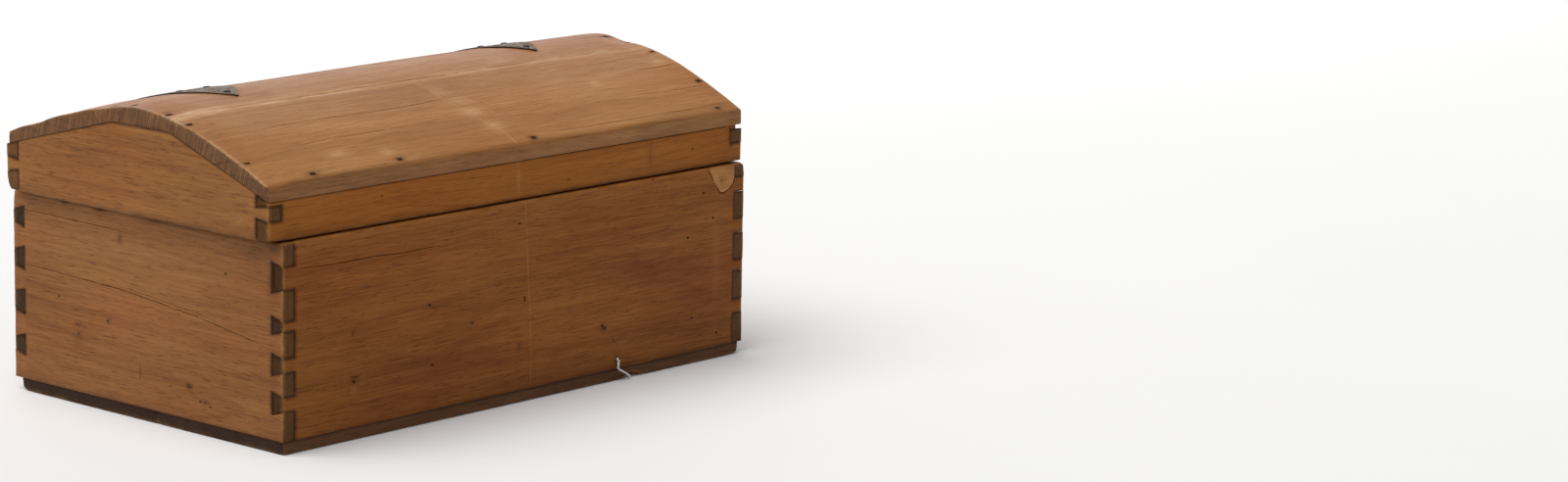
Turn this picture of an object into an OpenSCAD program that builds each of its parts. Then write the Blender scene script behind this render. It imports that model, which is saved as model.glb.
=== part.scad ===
// Dome-lidded dovetailed wooden box of a washer toss set, with two strap hinges that run over its lid.
// X runs along the box (left end at -X), the front faces -Y, Z is up.
// The origin is on the ground, under the middle of the box body.

/* [Body] */
// Outside length of the box body
body_len = 602.5; // [560:2.5:800]
// Outside depth of the box body, front to back
body_dep = 366; // [320:2:440]
// Height of the four walls above the bottom boards
wall_h = 177.3; // [150:0.1:240]
// Thickness of the front and back boards
side_t = 15; // [13:0.5:18]
// Thickness of the two end boards
end_t = 14; // [12:0.5:17]
// Thickness of the bottom boards
bottom_t = 11.2; // [9:0.1:15]
// Share of the depth covered by the front bottom board
bottom_split = 0.46; // [0.38:0.01:0.6]
// Shrinkage gap between the two bottom boards
bottom_gap = 0.8; // [0.2:0.1:2]
// How far the back bottom board stops short of the back face
bottom_inset_back = 8; // [4:0.5:8]
// How far the bottom boards stop short of the right end
bottom_inset_right = 4; // [0:0.5:4]

/* [Dovetails] */
// How much each tail widens on each side towards the corner
tail_flare = 4; // [2:0.5:5]
// Glue-line clearance around each tail, patch and nail
glue = 0.02; // [0.01:0.01:0.1]

/* [Lid] */
// Overhang of the lid past the left end of the body
lid_over_left = 13; // [0:0.5:15]
// Overhang of the lid past the right end of the body
lid_over_right = -1; // [-2:0.5:15]
// Set-back of the lid's front rail behind the body's front face
lid_set_front = 4; // [0:0.5:6]
// Set-back of the lid's back rail in front of the body's back face
lid_set_back = 8; // [7:0.5:12]
// Gap between the body's top edge and the lid
lid_gap = 1.5; // [1:0.1:2.5]
// Thickness of the lid's front and back rails
rail_t = 16; // [14:0.5:18]
// Thickness of the lid's two gables
gable_t = 15.5; // [13:0.5:18]
// Height of the front rail at its outer face
rail_front_h = 36; // [33:0.5:42]
// Height of the back rail at its outer face
rail_back_h = 43; // [36:0.5:48]
// Height of the underside of the crest above the lid's lower edge
crest_h = 81.6; // [70:0.1:90]

/* [Dome] */
// Height of the highest point of the dome above the lid's lower edge
crown_h = 102; // [100:0.5:108]
// Fall of the dome from its crown to its front and back edges
crown_drop = 51.5; // [44:0.5:52]
// Roundness of the dome (2 is a parabola, lower is closer to a gable)
crown_power = 1.68; // [1.5:0.01:2.2]
// Facets of the rounded face of each top board
crown_steps = 14; // [8:1:24]

/* [Hinges] */
// Width of each strap hinge
strap_w = 52; // [44:1:60]
// Thickness of the hinge plates
strap_t = 1.6; // [1.4:0.1:2.2]
// Distance between the centres of the two hinges
hinge_pitch = 384; // [340:1:400]
// Shift of the pair of hinges towards the left end
hinge_shift = 21; // [0:0.5:24]
// Distance of the straps' points behind the lid's front face
strap_tip = 152; // [135:1:156]
// Length over which each strap narrows to its point
strap_taper = 36; // [25:1:50]
// Height of the hinge plates on the back of the body
plate_h = 60; // [54:1:80]
// Outside radius of the hinge barrel
barrel_r = 3; // [2.8:0.1:3.5]
// Radius of the hinge pin
pin_r = 1.5; // [1.2:0.1:1.7]
// Radial running clearance of the lid leaf on the pin
pin_clear = 0.05; // [0.02:0.01:0.1]
// Side clearance between two knuckles
knuckle_clear = 0.2; // [0.1:0.05:0.4]

/* [Nails and wire] */
// Length of the cut nails
nail_len = 28; // [20:1:32]
// Long side of a cut nail's head
nail_head_w = 6.5; // [5:0.5:8]
// Short side of a cut nail's head
nail_head_d = 3.6; // [3:0.1:4.5]
// Thickness of the bent wire in the front board
wire_d = 1.8; // [1.2:0.1:2.4]

/* [Hidden] */
$fn = 48;
eps = 0.01;

wall_z0 = bottom_t;
wall_z1 = bottom_t + wall_h;
bx = body_len / 2;
by = body_dep / 2;
split_y = -by + bottom_split * body_dep;

lid_x0 = -bx - lid_over_left;
lid_x1 = bx + lid_over_right;
lid_xc = (lid_x0 + lid_x1) / 2;
lid_y0 = -by + lid_set_front;
lid_y1 = by - lid_set_back;
lid_z0 = wall_z1 + lid_gap;
lid_dep = lid_y1 - lid_y0;

// board joints and underside bends, measured back from the lid's front face
crest_s0 = 0.362 * lid_dep;
crest_s1 = 0.554 * lid_dep;
bend_s = 0.585 * lid_dep;
peak_s = 0.496 * lid_dep;
eave_in = 3;

// hinge axis
axis_y = by + barrel_r + 0.2;
axis_z = wall_z1 + lid_gap / 2;
crank_z0 = axis_z + 1;
hinge_x = [-hinge_pitch / 2 - hinge_shift, hinge_pitch / 2 - hinge_shift];
knuckle = strap_w / 3;
screw_r = 1.5;
screw_head_r = 2.75;
screw_head_h = 1.2;
screw_len = 13;
clout_len = 14;

// [offset from the hinge's middle, distance below the hinge's axis]
PLATE_SCREWS = [[-17, 14], [17, 14], [0, 32], [-17, 49], [17, 49]];
// [offset from the hinge's middle, distance behind the lid's front face]
STRAP_NAILS = [[0, strap_tip + 14], [-16, 212], [16, 212], [0, 262], [-16, 312], [16, 312]];

// outer edges of the five tails of each corner, as shares of the wall height
TAILS_FL = [[0, 0.150], [0.225, 0.349], [0.419, 0.557], [0.607, 0.766], [0.879, 1]];
TAILS_FR = [[0, 0.166], [0.244, 0.404], [0.465, 0.614], [0.696, 0.844], [0.924, 1]];
TAILS_BL = [[0, 0.148], [0.216, 0.365], [0.456, 0.602], [0.681, 0.829], [0.894, 1]];
TAILS_BR = [[0, 0.152], [0.226, 0.372], [0.451, 0.598], [0.671, 0.818], [0.891, 1]];

// lid tail, outer edges above the lid's lower edge
lid_tail = [18, 32];
lid_flare = 2.5;

// [x, distance behind the lid's front face, lean]
FRONT_NAILS = [[-256.5, 6.5, 9], [-151, 7, 9], [19, 7, 9], [272, 6.5, 9],
               [lid_x0 + 7, 110, 13], [lid_x0 + 8, 36, 21],
               [lid_x1 - 8, 112, 13], [lid_x1 - 8, 50, 21]];
CREST_NAILS = [[lid_x0 + 7, 137, 6], [lid_x0 + 8, 184, 0],
               [lid_x1 - 8, 145, 6], [lid_x1 - 12, 171.6, 0]];
BACK_NAILS = [[lid_x0 + 8, 212, -9], [lid_x0 + 8, 305, -19],
              [lid_x1 - 8, 214, -9], [lid_x1 - 8, 300, -19],
              [-275, lid_dep - 10, -7], [-80, lid_dep - 10, -7],
              [75, lid_dep - 10, -7], [240, lid_dep - 10, -7]];
// [x, y, head turned]
BOTTOM_NAILS = [[-262, -by + 7.5, 0], [-130, -by + 7.5, 0], [5, -by + 7.5, 0], [170, -by + 7.5, 0], [255, -by + 7.5, 0],
                [-255, by - 11.2, 0], [-90, by - 11.2, 0], [80, by - 11.2, 0], [250, by - 11.2, 0],
                [-bx + 7, -95, 1], [-bx + 7, 60, 1], [bx - 7, -90, 1], [bx - 7, 65, 1]];

PATCH = [[247, wall_z1], [289, wall_z1], [288, wall_z1 - 9], [283, wall_z1 - 19],
         [276, wall_z1 - 24], [270, wall_z1 - 26], [265, wall_z1 - 25]];
patch_t = 5;

wire_x = 123.5;
wire_z = 21.5;

// ---------- helpers ----------

// underside of the top boards and top of the lid frame, above the lid's lower edge
function under(s) =
    s < crest_s0 ? rail_front_h + (crest_h - rail_front_h) * s / crest_s0 :
    s < bend_s ? crest_h :
    crest_h + (rail_back_h - crest_h) * (s - bend_s) / (lid_dep - bend_s);

// top of the lid frame, a hair under the top boards
function seat(s) = under(s) - glue;

// rounded outer face of the dome, above the lid's lower edge
function crown(s) = crown_h - crown_drop * pow(abs(s - peak_s) / peak_s, crown_power);

// sweep a Y-Z outline along X
module along_x(x0, x1) {
    translate([x0, 0, 0]) rotate([90, 0, 90]) linear_extrude(x1 - x0) children();
}

// sweep an X-Z outline along Y
module along_y(y0, y1) {
    translate([0, y1, 0]) rotate([90, 0, 0]) linear_extrude(y1 - y0) children();
}

// one dovetail: ya is the corner face, yb the shoulder, z0..z1 its size at the corner face;
// it runs on by run into the board behind the shoulder
module tail(x0, x1, ya, yb, z0, z1, f0, f1, g = 0, run = 0) {
    d = yb > ya ? 1 : -1;
    e = yb + d * (g + run);
    along_x(x0 - g, x1 + g)
        polygon(concat([[ya - d * g, z0 - g], [yb + d * g, z0 + f0 - g]],
                       run > 0 ? [[e, z0 + f0 - g], [e, z1 - f1 + g]] : [],
                       [[yb + d * g, z1 - f1 + g], [ya - d * g, z1 + g]]));
}

// all tails of one corner; the ones at the top and bottom have one straight edge
module tails(list, x0, x1, ya, yb, g = 0, run = 0) {
    for (i = [0 : len(list) - 1])
        tail(x0, x1, ya, yb,
             wall_z0 + list[i][0] * wall_h, wall_z0 + list[i][1] * wall_h,
             i == 0 ? 0 : tail_flare, i == len(list) - 1 ? 0 : tail_flare, g, run);
}

module front_tails(g = 0) {
    tails(TAILS_FL, -bx, -bx + end_t, -by, -by + side_t, g);
    tails(TAILS_FR, bx - end_t, bx, -by, -by + side_t, g);
}

module back_tails(g = 0) {
    tails(TAILS_BL, -bx, -bx + end_t, by, by - side_t, g);
    tails(TAILS_BR, bx - end_t, bx, by, by - side_t, g);
}

// cut nail, head up at the origin, grown by g; cut = 1 opens the pocket above the head
module cut_nail(g = 0, cut = 0) {
    hh = 1.4;
    translate([-nail_head_w / 2 - g, -nail_head_d / 2 - g, -hh - g])
        cube([nail_head_w + 2 * g, nail_head_d + 2 * g, hh + 2 * g + cut * 6]);
    translate([-1.3 - g, -1.1 - g, -nail_len - g])
        cube([2.6 + 2 * g, 2.2 + 2 * g, nail_len - hh + 2 * g]);
}

module lid_nails(list, g = 0, cut = 0) {
    for (p = list)
        translate([p[0], lid_y0 + p[1], lid_z0 + crown(p[1]) - 1.2])
            rotate([p[2], 0, 0]) cut_nail(g, cut);
}

module floor_nails(g = 0, cut = 0) {
    for (p = BOTTOM_NAILS)
        translate([p[0], p[1], 0.4]) rotate([180, 0, p[2] * 90]) cut_nail(g, cut);
}

// countersunk wood screw, head up at the origin
module wood_screw(g = 0, cut = 0) {
    translate([0, 0, -screw_head_h])
        cylinder(h = screw_head_h, r1 = screw_r + g, r2 = screw_head_r + g);
    translate([0, 0, -screw_len - g]) cylinder(h = screw_len + g, r = screw_r + g);
    if (cut > 0) translate([0, 0, -eps]) cylinder(h = cut, r = screw_head_r + g);
}

module slotted_screw() {
    difference() {
        wood_screw();
        translate([-0.35, -4, -0.55]) cube([0.7, 8, 2]);
    }
}

module plate_screws_at(hx) {
    for (p = PLATE_SCREWS) translate([hx + p[0], by + glue + strap_t, axis_z - p[1]]) rotate([-90, 0, 0]) children();
}

// clout nail with its head bedded in the strap; the strap's outer face is at the origin
module clout(g = 0) {
    translate([0, 0, -0.4 - g]) cylinder(h = 1.1 + 2 * g, r1 = 3.4 + g, r2 = 2.7 + g);
    translate([0, 0, -clout_len - g]) cylinder(h = clout_len - 0.4, r = 1.3 + g);
}

module clouts(hx, g = 0) {
    for (p = STRAP_NAILS)
        let (a = atan((crown(p[1] + 1) - crown(p[1] - 1)) / 2))
            translate([hx + p[0], lid_y0 + p[1], lid_z0 + crown(p[1])])
                rotate([a, 0, 0]) translate([0, 0, glue + strap_t]) clout(g);
}

function unit(v) = v / norm(v);

// an open line moved outwards by d, to the right of its direction
function beside(p, d) = [for (i = [0 : len(p) - 1])
    let (a = unit(i > 0 ? p[i] - p[i - 1] : p[1] - p[0]),
         b = unit(i < len(p) - 1 ? p[i + 1] - p[i] : p[i] - p[i - 1]),
         u = [a[1], -a[0]], v = [b[1], -b[0]])
    p[i] + (u + v) * d / (1 + u * v)];

function reversed(p) = [for (i = [len(p) - 1 : -1 : 0]) p[i]];

// the lid's outline under a strap, from the back rail's lower edge up over the eave to the crest board's front edge
eave_s = lid_dep - eave_in;
strap_path = concat(
    [[lid_dep, crank_z0 - lid_z0], [lid_dep, rail_back_h], [eave_s - 1.5, crown(eave_s - 4) - 2.2]],
    [for (i = [crown_steps : -1 : 0]) let (s = crest_s1 + (eave_s - 4 - crest_s1) * i / crown_steps) [s, crown(s)]],
    [for (i = [crown_steps - 1 : -1 : 0]) let (s = crest_s0 + (crest_s1 - crest_s0) * i / crown_steps) [s, crown(s)]]);

module patch_outline() {
    polygon(PATCH);
}

// straight leg of the bent wire from a to b, run on by k past each end
module wire_leg(a, b, r, k0 = 0, k1 = 0) {
    v = b - a;
    l = norm(v);
    translate(a - v / l * k0) rotate([0, acos(v[2] / l), atan2(v[1], v[0])]) cylinder(h = l + k0 + k1, r = r, $fn = 8);
}

// ---------- body ----------

module front_board() {
    color("peru") difference() {
        translate([-bx, -by, wall_z0]) cube([body_len, side_t, wall_h]);
        front_tails(glue);
        along_y(-by - 1, -by + patch_t + glue) patch_outline();
        translate([268, -by + patch_t + 7, wall_z1 - 13.5]) rotate([90, 0, 0]) cylinder(h = 20, r = 0.8, $fn = 24);
        translate([wire_x, -by + side_t + 1, wire_z]) rotate([90, 0, 0]) cylinder(h = side_t + 2, r = wire_d / 2 + glue, $fn = 24);
        floor_nails(glue);
    }
}

module back_board() {
    color("peru") difference() {
        translate([-bx, by - side_t, wall_z0]) cube([body_len, side_t, wall_h]);
        back_tails(glue);
        for (hx = hinge_x) plate_screws_at(hx) wood_screw(glue, 0);
        floor_nails(glue);
    }
}

module left_end_board() {
    color("burlywood") difference() {
        union() {
            translate([-bx, -by + side_t + glue, wall_z0]) cube([end_t, body_dep - 2 * side_t - 2 * glue, wall_h]);
            tails(TAILS_FL, -bx, -bx + end_t, -by, -by + side_t, 0, 1);
            tails(TAILS_BL, -bx, -bx + end_t, by, by - side_t, 0, 1);
        }
        floor_nails(glue);
    }
}

module right_end_board() {
    color("burlywood") difference() {
        union() {
            translate([bx - end_t, -by + side_t + glue, wall_z0]) cube([end_t, body_dep - 2 * side_t - 2 * glue, wall_h]);
            tails(TAILS_FR, bx - end_t, bx, -by, -by + side_t, 0, 1);
            tails(TAILS_BR, bx - end_t, bx, by, by - side_t, 0, 1);
        }
        floor_nails(glue);
    }
}

module bottom_board_front() {
    color("sienna") difference() {
        translate([-bx, -by, 0]) cube([body_len - bottom_inset_right, split_y - bottom_gap / 2 + by, bottom_t]);
        // worn notch in the lower front edge
        along_y(-by - 1, -by + 9)
            polygon([[134, -1], [135, 4.2], [143, 4.8], [150, 4], [159, -1]]);
        floor_nails(glue, 1);
    }
}

module bottom_board_back() {
    color("sienna") difference() {
        translate([-bx, split_y + bottom_gap / 2, 0])
            cube([body_len - bottom_inset_right, by - bottom_inset_back - split_y - bottom_gap / 2, bottom_t]);
        floor_nails(glue, 1);
    }
}

module bottom_nails() {
    color("dimgray") floor_nails();
}

module corner_patch() {
    color("tan") difference() {
        along_y(-by, -by + patch_t) intersection() {
            patch_outline();
            translate([247.03, wall_z1 - 40]) square([60, 40]);
        }
        tails(TAILS_FR, bx - end_t, bx, -by, -by + side_t, glue);
        translate([268, -by + patch_t + 7, wall_z1 - 13.5]) rotate([90, 0, 0]) cylinder(h = 20, r = 0.8, $fn = 24);
    }
}

module corner_patch_nail() {
    color("dimgray") {
        translate([268, -by + patch_t + 6.8, wall_z1 - 13.5]) rotate([90, 0, 0]) cylinder(h = patch_t + 6.3, r = 0.78, $fn = 24);
    }
}

module bent_wire() {
    r = wire_d / 2;
    p0 = [wire_x, -by + side_t, wire_z];
    p1 = [wire_x, -by - 2.4, wire_z];
    p2 = [wire_x - 2.5, -by - 4.2, wire_z - 7.5];
    p3 = [wire_x + 4, -by - 4.6, wire_z - 12.5];
    p4 = [wire_x + 15.5, -by - 3.6, 1.6];
    color("silver") union() {
        wire_leg(p0, p1, r, 0, 0.5);
        wire_leg(p1, p2, r, 0.45, 0.4);
        wire_leg(p2, p3, r, 0.5, 0.35);
        wire_leg(p3, p4, r, 0.45, 0);
    }
}

// ---------- lid ----------

module lid_tail(x0, x1, ya, yb, g = 0, run = 0) {
    tail(x0, x1, ya, yb, lid_z0 + lid_tail[0], lid_z0 + lid_tail[1], lid_flare, lid_flare, g, run);
}

module lid_front_rail() {
    color("goldenrod") difference() {
        along_x(lid_x0, lid_x1) translate([lid_y0, lid_z0])
            polygon([[0, 0], [rail_t, 0], [rail_t, seat(rail_t)], [0, seat(0)]]);
        lid_tail(lid_x0, lid_x0 + gable_t, lid_y0, lid_y0 + rail_t, glue);
        lid_tail(lid_x1 - gable_t, lid_x1, lid_y0, lid_y0 + rail_t, glue);
        // the thin upper half-pin at the right corner has broken away
        translate([lid_x1 - gable_t * 0.55, lid_y0 - 1, lid_z0 + lid_tail[1] - 0.5]) cube([gable_t, rail_t + 2, 20]);
        lid_nails(FRONT_NAILS, glue);
    }
}

module lid_back_rail() {
    color("goldenrod") difference() {
        along_x(lid_x0, lid_x1) translate([lid_y0, lid_z0])
            polygon([[lid_dep - rail_t, 0], [lid_dep, 0], [lid_dep, seat(lid_dep)], [lid_dep - rail_t, seat(lid_dep - rail_t)]]);
        lid_tail(lid_x0, lid_x0 + gable_t, lid_y1, lid_y1 - rail_t, glue);
        lid_tail(lid_x1 - gable_t, lid_x1, lid_y1, lid_y1 - rail_t, glue);
        lid_nails(BACK_NAILS, glue);
    }
}

module gable(x0) {
    a = rail_t + glue;
    b = lid_dep - rail_t - glue;
    difference() {
        union() {
            along_x(x0, x0 + gable_t) translate([lid_y0, lid_z0])
                polygon([[a, 0], [b, 0], [b, seat(b)], [bend_s, seat(bend_s)], [crest_s0, seat(crest_s0)], [a, seat(a)]]);
            lid_tail(x0, x0 + gable_t, lid_y0, lid_y0 + rail_t, 0, 1);
            lid_tail(x0, x0 + gable_t, lid_y1, lid_y1 - rail_t, 0, 1);
        }
        lid_nails(FRONT_NAILS, glue);
        lid_nails(CREST_NAILS, glue);
        lid_nails(BACK_NAILS, glue);
    }
}

module lid_left_gable() {
    color("burlywood") gable(lid_x0);
}

module lid_right_gable() {
    color("burlywood") gable(lid_x1 - gable_t);
}

module top_front_board() {
    color("sandybrown") difference() {
        along_x(lid_x0, lid_x1) translate([lid_y0, lid_z0])
            polygon(concat([[0, under(0)], [crest_s0, crest_h]],
                           [for (i = [crown_steps : -1 : 1]) let (s = 2 + (crest_s0 - 2) * i / crown_steps) [s, crown(s)]],
                           [[1.6, crown(2) - 0.4], [0, crown(2) - 2.6]]));
        lid_nails(FRONT_NAILS, glue, 1);
    }
}

module top_crest_board() {
    color("sandybrown") difference() {
        along_x(lid_x0, lid_x1) translate([lid_y0, lid_z0])
            polygon(concat([[crest_s0, crest_h], [crest_s1, crest_h]],
                           [for (i = [crown_steps : -1 : 0]) let (s = crest_s0 + (crest_s1 - crest_s0) * i / crown_steps) [s, crown(s)]]));
        for (hx = hinge_x) clouts(hx, glue);
        lid_nails(CREST_NAILS, glue, 1);
    }
}

module top_back_board() {
    e = eave_s;
    color("sandybrown") difference() {
        along_x(lid_x0, lid_x1) translate([lid_y0, lid_z0])
            polygon(concat([[crest_s1, crest_h], [bend_s, crest_h], [e, under(e)], [e, crown(e - 4) - 6], [e - 1.5, crown(e - 4) - 2.2]],
                           [for (i = [crown_steps : -1 : 0]) let (s = crest_s1 + (e - 4 - crest_s1) * i / crown_steps) [s, crown(s)]]));
        for (hx = hinge_x) clouts(hx, glue);
        lid_nails(BACK_NAILS, glue, 1);
    }
}

module top_front_nails() {
    color("dimgray") lid_nails(FRONT_NAILS);
}

module top_crest_nails() {
    color("dimgray") lid_nails(CREST_NAILS);
}

module top_back_nails() {
    color("dimgray") lid_nails(BACK_NAILS);
}

// ---------- hinges ----------

module barrel(x0, x1, r) {
    translate([x0, axis_y, axis_z]) rotate([0, 90, 0]) cylinder(h = x1 - x0, r = r);
}

// plate on the body's back, its two outer knuckles and its screw holes
module body_plate(hx) {
    x0 = hx - strap_w / 2;
    x1 = hx + strap_w / 2;
    difference() {
        union() {
            translate([x0, by + glue, axis_z - plate_h]) cube([strap_w, strap_t, plate_h]);
            barrel(x0, x0 + knuckle - knuckle_clear / 2, barrel_r);
            barrel(x1 - knuckle + knuckle_clear / 2, x1, barrel_r);
        }
        barrel(x0 - 1, x1 + 1, pin_r + glue / 2);
        barrel(x0 + knuckle - knuckle_clear / 2, x1 - knuckle + knuckle_clear / 2, barrel_r + 0.3);
        plate_screws_at(hx) wood_screw(glue, 2);
    }
}

// strap bent over the lid's back and dome, with its cranked tail, middle knuckle and nail holes
module strap(hx) {
    x0 = hx - strap_w / 2;
    x1 = hx + strap_w / 2;
    difference() {
        union() {
            intersection() {
                along_x(x0, x1) translate([lid_y0, lid_z0])
                    polygon(concat(beside(strap_path, glue), reversed(beside(strap_path, glue + strap_t))));
                translate([0, lid_y0, lid_z0 - 10]) linear_extrude(140)
                    polygon([[x0 - 1, lid_dep + 9], [x0 - 1, strap_tip + strap_taper], [x0, strap_tip + strap_taper],
                             [hx - 2, strap_tip], [hx + 2, strap_tip],
                             [x1, strap_tip + strap_taper], [x1 + 1, strap_tip + strap_taper], [x1 + 1, lid_dep + 9]]);
            }
            translate([x0, lid_y1 + glue, crank_z0]) cube([strap_w, axis_y - lid_y1 - glue, strap_t]);
            barrel(x0 + knuckle + knuckle_clear / 2, x1 - knuckle - knuckle_clear / 2, barrel_r);
        }
        barrel(x0 - 1, x1 + 1, pin_r + pin_clear);
        barrel(x0 - 1, x0 + knuckle + knuckle_clear / 2, barrel_r + 0.3);
        barrel(x1 - knuckle - knuckle_clear / 2, x1 + 1, barrel_r + 0.3);
        clouts(hx, glue);
    }
}

module hinge_pin(hx) {
    barrel(hx - strap_w / 2 - 0.9, hx + strap_w / 2 + 0.9, pin_r);
    barrel(hx - strap_w / 2 - 1, hx - strap_w / 2 - 0.1, pin_r + 0.7);
    barrel(hx + strap_w / 2 + 0.1, hx + strap_w / 2 + 1, pin_r + 0.7);
}

module hinge_left_body_plate() {
    color("dimgray") body_plate(hinge_x[0]);
}

module hinge_left_strap() {
    color("darkgray") strap(hinge_x[0]);
}

module hinge_left_pin() {
    color("gray") hinge_pin(hinge_x[0]);
}

module hinge_right_body_plate() {
    color("dimgray") body_plate(hinge_x[1]);
}

module hinge_right_strap() {
    color("darkgray") strap(hinge_x[1]);
}

module hinge_right_pin() {
    color("gray") hinge_pin(hinge_x[1]);
}

module body_plate_screws() {
    color("gray") for (hx = hinge_x) plate_screws_at(hx) slotted_screw();
}

module strap_nails() {
    color("dimgray") for (hx = hinge_x) clouts(hx);
}

front_board();
back_board();
left_end_board();
right_end_board();
bottom_board_front();
bottom_board_back();
bottom_nails();
corner_patch();
corner_patch_nail();
bent_wire();
lid_front_rail();
lid_back_rail();
lid_left_gable();
lid_right_gable();
top_front_board();
top_crest_board();
top_back_board();
top_front_nails();
top_crest_nails();
top_back_nails();
hinge_left_body_plate();
hinge_left_strap();
hinge_left_pin();
hinge_right_body_plate();
hinge_right_strap();
hinge_right_pin();
body_plate_screws();
strap_nails();
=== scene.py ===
import math

import bmesh
import bpy
import numpy as np
from mathutils import Matrix, Vector


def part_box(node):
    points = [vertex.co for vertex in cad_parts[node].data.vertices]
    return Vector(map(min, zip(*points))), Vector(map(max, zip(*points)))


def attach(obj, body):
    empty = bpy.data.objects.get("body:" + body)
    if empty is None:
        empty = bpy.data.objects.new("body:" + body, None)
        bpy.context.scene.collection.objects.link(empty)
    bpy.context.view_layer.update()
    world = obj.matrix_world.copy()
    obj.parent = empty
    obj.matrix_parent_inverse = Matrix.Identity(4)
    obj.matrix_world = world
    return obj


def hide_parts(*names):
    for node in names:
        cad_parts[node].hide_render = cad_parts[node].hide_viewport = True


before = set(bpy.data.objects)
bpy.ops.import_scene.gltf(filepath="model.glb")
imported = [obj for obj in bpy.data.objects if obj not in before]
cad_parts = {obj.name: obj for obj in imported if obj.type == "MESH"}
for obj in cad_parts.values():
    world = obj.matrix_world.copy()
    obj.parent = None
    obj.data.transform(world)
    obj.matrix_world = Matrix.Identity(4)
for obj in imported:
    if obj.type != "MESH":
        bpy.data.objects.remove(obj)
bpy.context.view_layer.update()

# ------------------------------------------------------------------ the frame's own numbers, in mm


def mmbox(name):
    lo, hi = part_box(name)
    return np.array(lo) * 1000, np.array(hi) * 1000


FB, BB = mmbox("front_board"), mmbox("back_board")
LE, RE = mmbox("left_end_board"), mmbox("right_end_board")
BF, BK = mmbox("bottom_board_front"), mmbox("bottom_board_back")
FR, BR = mmbox("lid_front_rail"), mmbox("lid_back_rail")
LG, RG = mmbox("lid_left_gable"), mmbox("lid_right_gable")
TF, TC, TB = mmbox("top_front_board"), mmbox("top_crest_board"), mmbox("top_back_board")

BX0, BX1 = FB[0][0], FB[1][0]
BY0, BY1 = FB[0][1], BB[1][1]
WZ0, WZ1 = FB[0][2], FB[1][2]
WALL = WZ1 - WZ0
SIDE = FB[1][1] - FB[0][1]
END = LE[1][0] - LE[0][0]
LX0, LX1 = FR[0][0], FR[1][0]
LY0, LY1 = FR[0][1], BR[1][1]
LZ = FR[0][2]
DEP = LY1 - LY0
RAIL = FR[1][1] - FR[0][1]
GAB = LG[1][0] - LG[0][0]
S0 = TC[0][1] - LY0
S1 = TC[1][1] - LY0
BEND = 0.585 * DEP
PEAK = 0.496 * DEP
CREST = 81.6
STRAPS = [mmbox(f"hinge_{side}_strap") for side in ("left", "right")]
HINGE_X = [(lo[0] + hi[0]) / 2 for lo, hi in STRAPS]
STRAP_W = STRAPS[0][1][0] - STRAPS[0][0][0]
TIP_S = STRAPS[0][0][1] - LY0

TAILS = {
    "FL": [[0, 0.150], [0.225, 0.349], [0.419, 0.557], [0.607, 0.766], [0.879, 1]],
    "FR": [[0, 0.166], [0.244, 0.404], [0.465, 0.614], [0.696, 0.844], [0.924, 1]],
    "BL": [[0, 0.148], [0.216, 0.365], [0.456, 0.602], [0.681, 0.829], [0.894, 1]],
    "BR": [[0, 0.152], [0.226, 0.372], [0.451, 0.598], [0.671, 0.818], [0.891, 1]],
}
FLARE = 4.0
LTAIL = (18.0, 32.0)
LFLARE = 2.5


def under(s):
    s = np.asarray(s, float)
    return np.where(s < S0, 36 + (CREST - 36) * s / S0,
                    np.where(s < BEND, CREST, CREST + (43 - CREST) * (s - BEND) / (DEP - BEND)))


def crown(s):
    return 102 - 51.5 * np.power(np.abs(np.asarray(s, float) - PEAK) / PEAK, 1.68)


# ------------------------------------------------------------------ small tools


def smooth(t):
    t = np.clip(t, 0, 1)
    return t * t * (3 - 2 * t)


def _hash(i, j, k, seed):
    h = (i * 73856093) ^ (j * 19349663) ^ (k * 83492791) ^ (seed * 40503 + 977)
    h &= 0xFFFFFFFF
    h = ((h ^ (h >> 15)) * 2246822519) & 0xFFFFFFFF
    h = ((h ^ (h >> 13)) * 3266489917) & 0xFFFFFFFF
    return ((h ^ (h >> 16)) & 0xFFFFFF) / 16777215.0


def noise(p, size, seed=0, octaves=2):
    """Smooth value noise from -1 to 1; size is the feature size in mm, one number or one for each axis."""
    p = np.asarray(p, float)
    out, amp, total = np.zeros(len(p)), 1.0, 0.0
    q = p / np.asarray(size, float)
    for o in range(octaves):
        f = np.floor(q).astype(np.int64)
        t = q - f
        t = t * t * (3 - 2 * t)
        v = np.zeros(len(p))
        for a in (0, 1):
            for b in (0, 1):
                for c in (0, 1):
                    w = (t[:, 0] if a else 1 - t[:, 0]) * (t[:, 1] if b else 1 - t[:, 1]) * (t[:, 2] if c else 1 - t[:, 2])
                    v += w * _hash(f[:, 0] + a, f[:, 1] + b, f[:, 2] + c, seed + 31 * o)
        out += amp * (2 * v - 1)
        total += amp
        amp *= 0.5
        q = q * 2.03 + 17.3
    return out / total


def lines(a, b, step, marks=(), fine=(0.7, 1.9), end_fine=(0.6, 1.5, 2.8)):
    """Grid lines from a to b, through every mark, closer together beside the marks and the two ends."""
    keys = sorted({round(float(v), 4) for v in (a, b, *marks) if a - 1e-6 <= v <= b + 1e-6})
    kept = [keys[0]]
    for v in keys[1:]:
        if v - kept[-1] > 0.12 or v == keys[-1]:
            kept.append(v)
    extra = [m + d * f for m in kept[1:-1] for f in fine for d in (-1, 1)]
    extra += [kept[0] + f for f in end_fine] + [kept[-1] - f for f in end_fine]
    for v in sorted(extra):
        if kept[0] < v < kept[-1] and min(abs(v - k) for k in kept) > 0.45:
            kept.append(v)
    kept = sorted(kept)
    out = []
    for p, q in zip(kept[:-1], kept[1:]):
        n = max(1, int(math.ceil((q - p) / step - 0.25)))
        out += [p + (q - p) * i / n for i in range(n)]
    return np.array(out + [kept[-1]])


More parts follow.
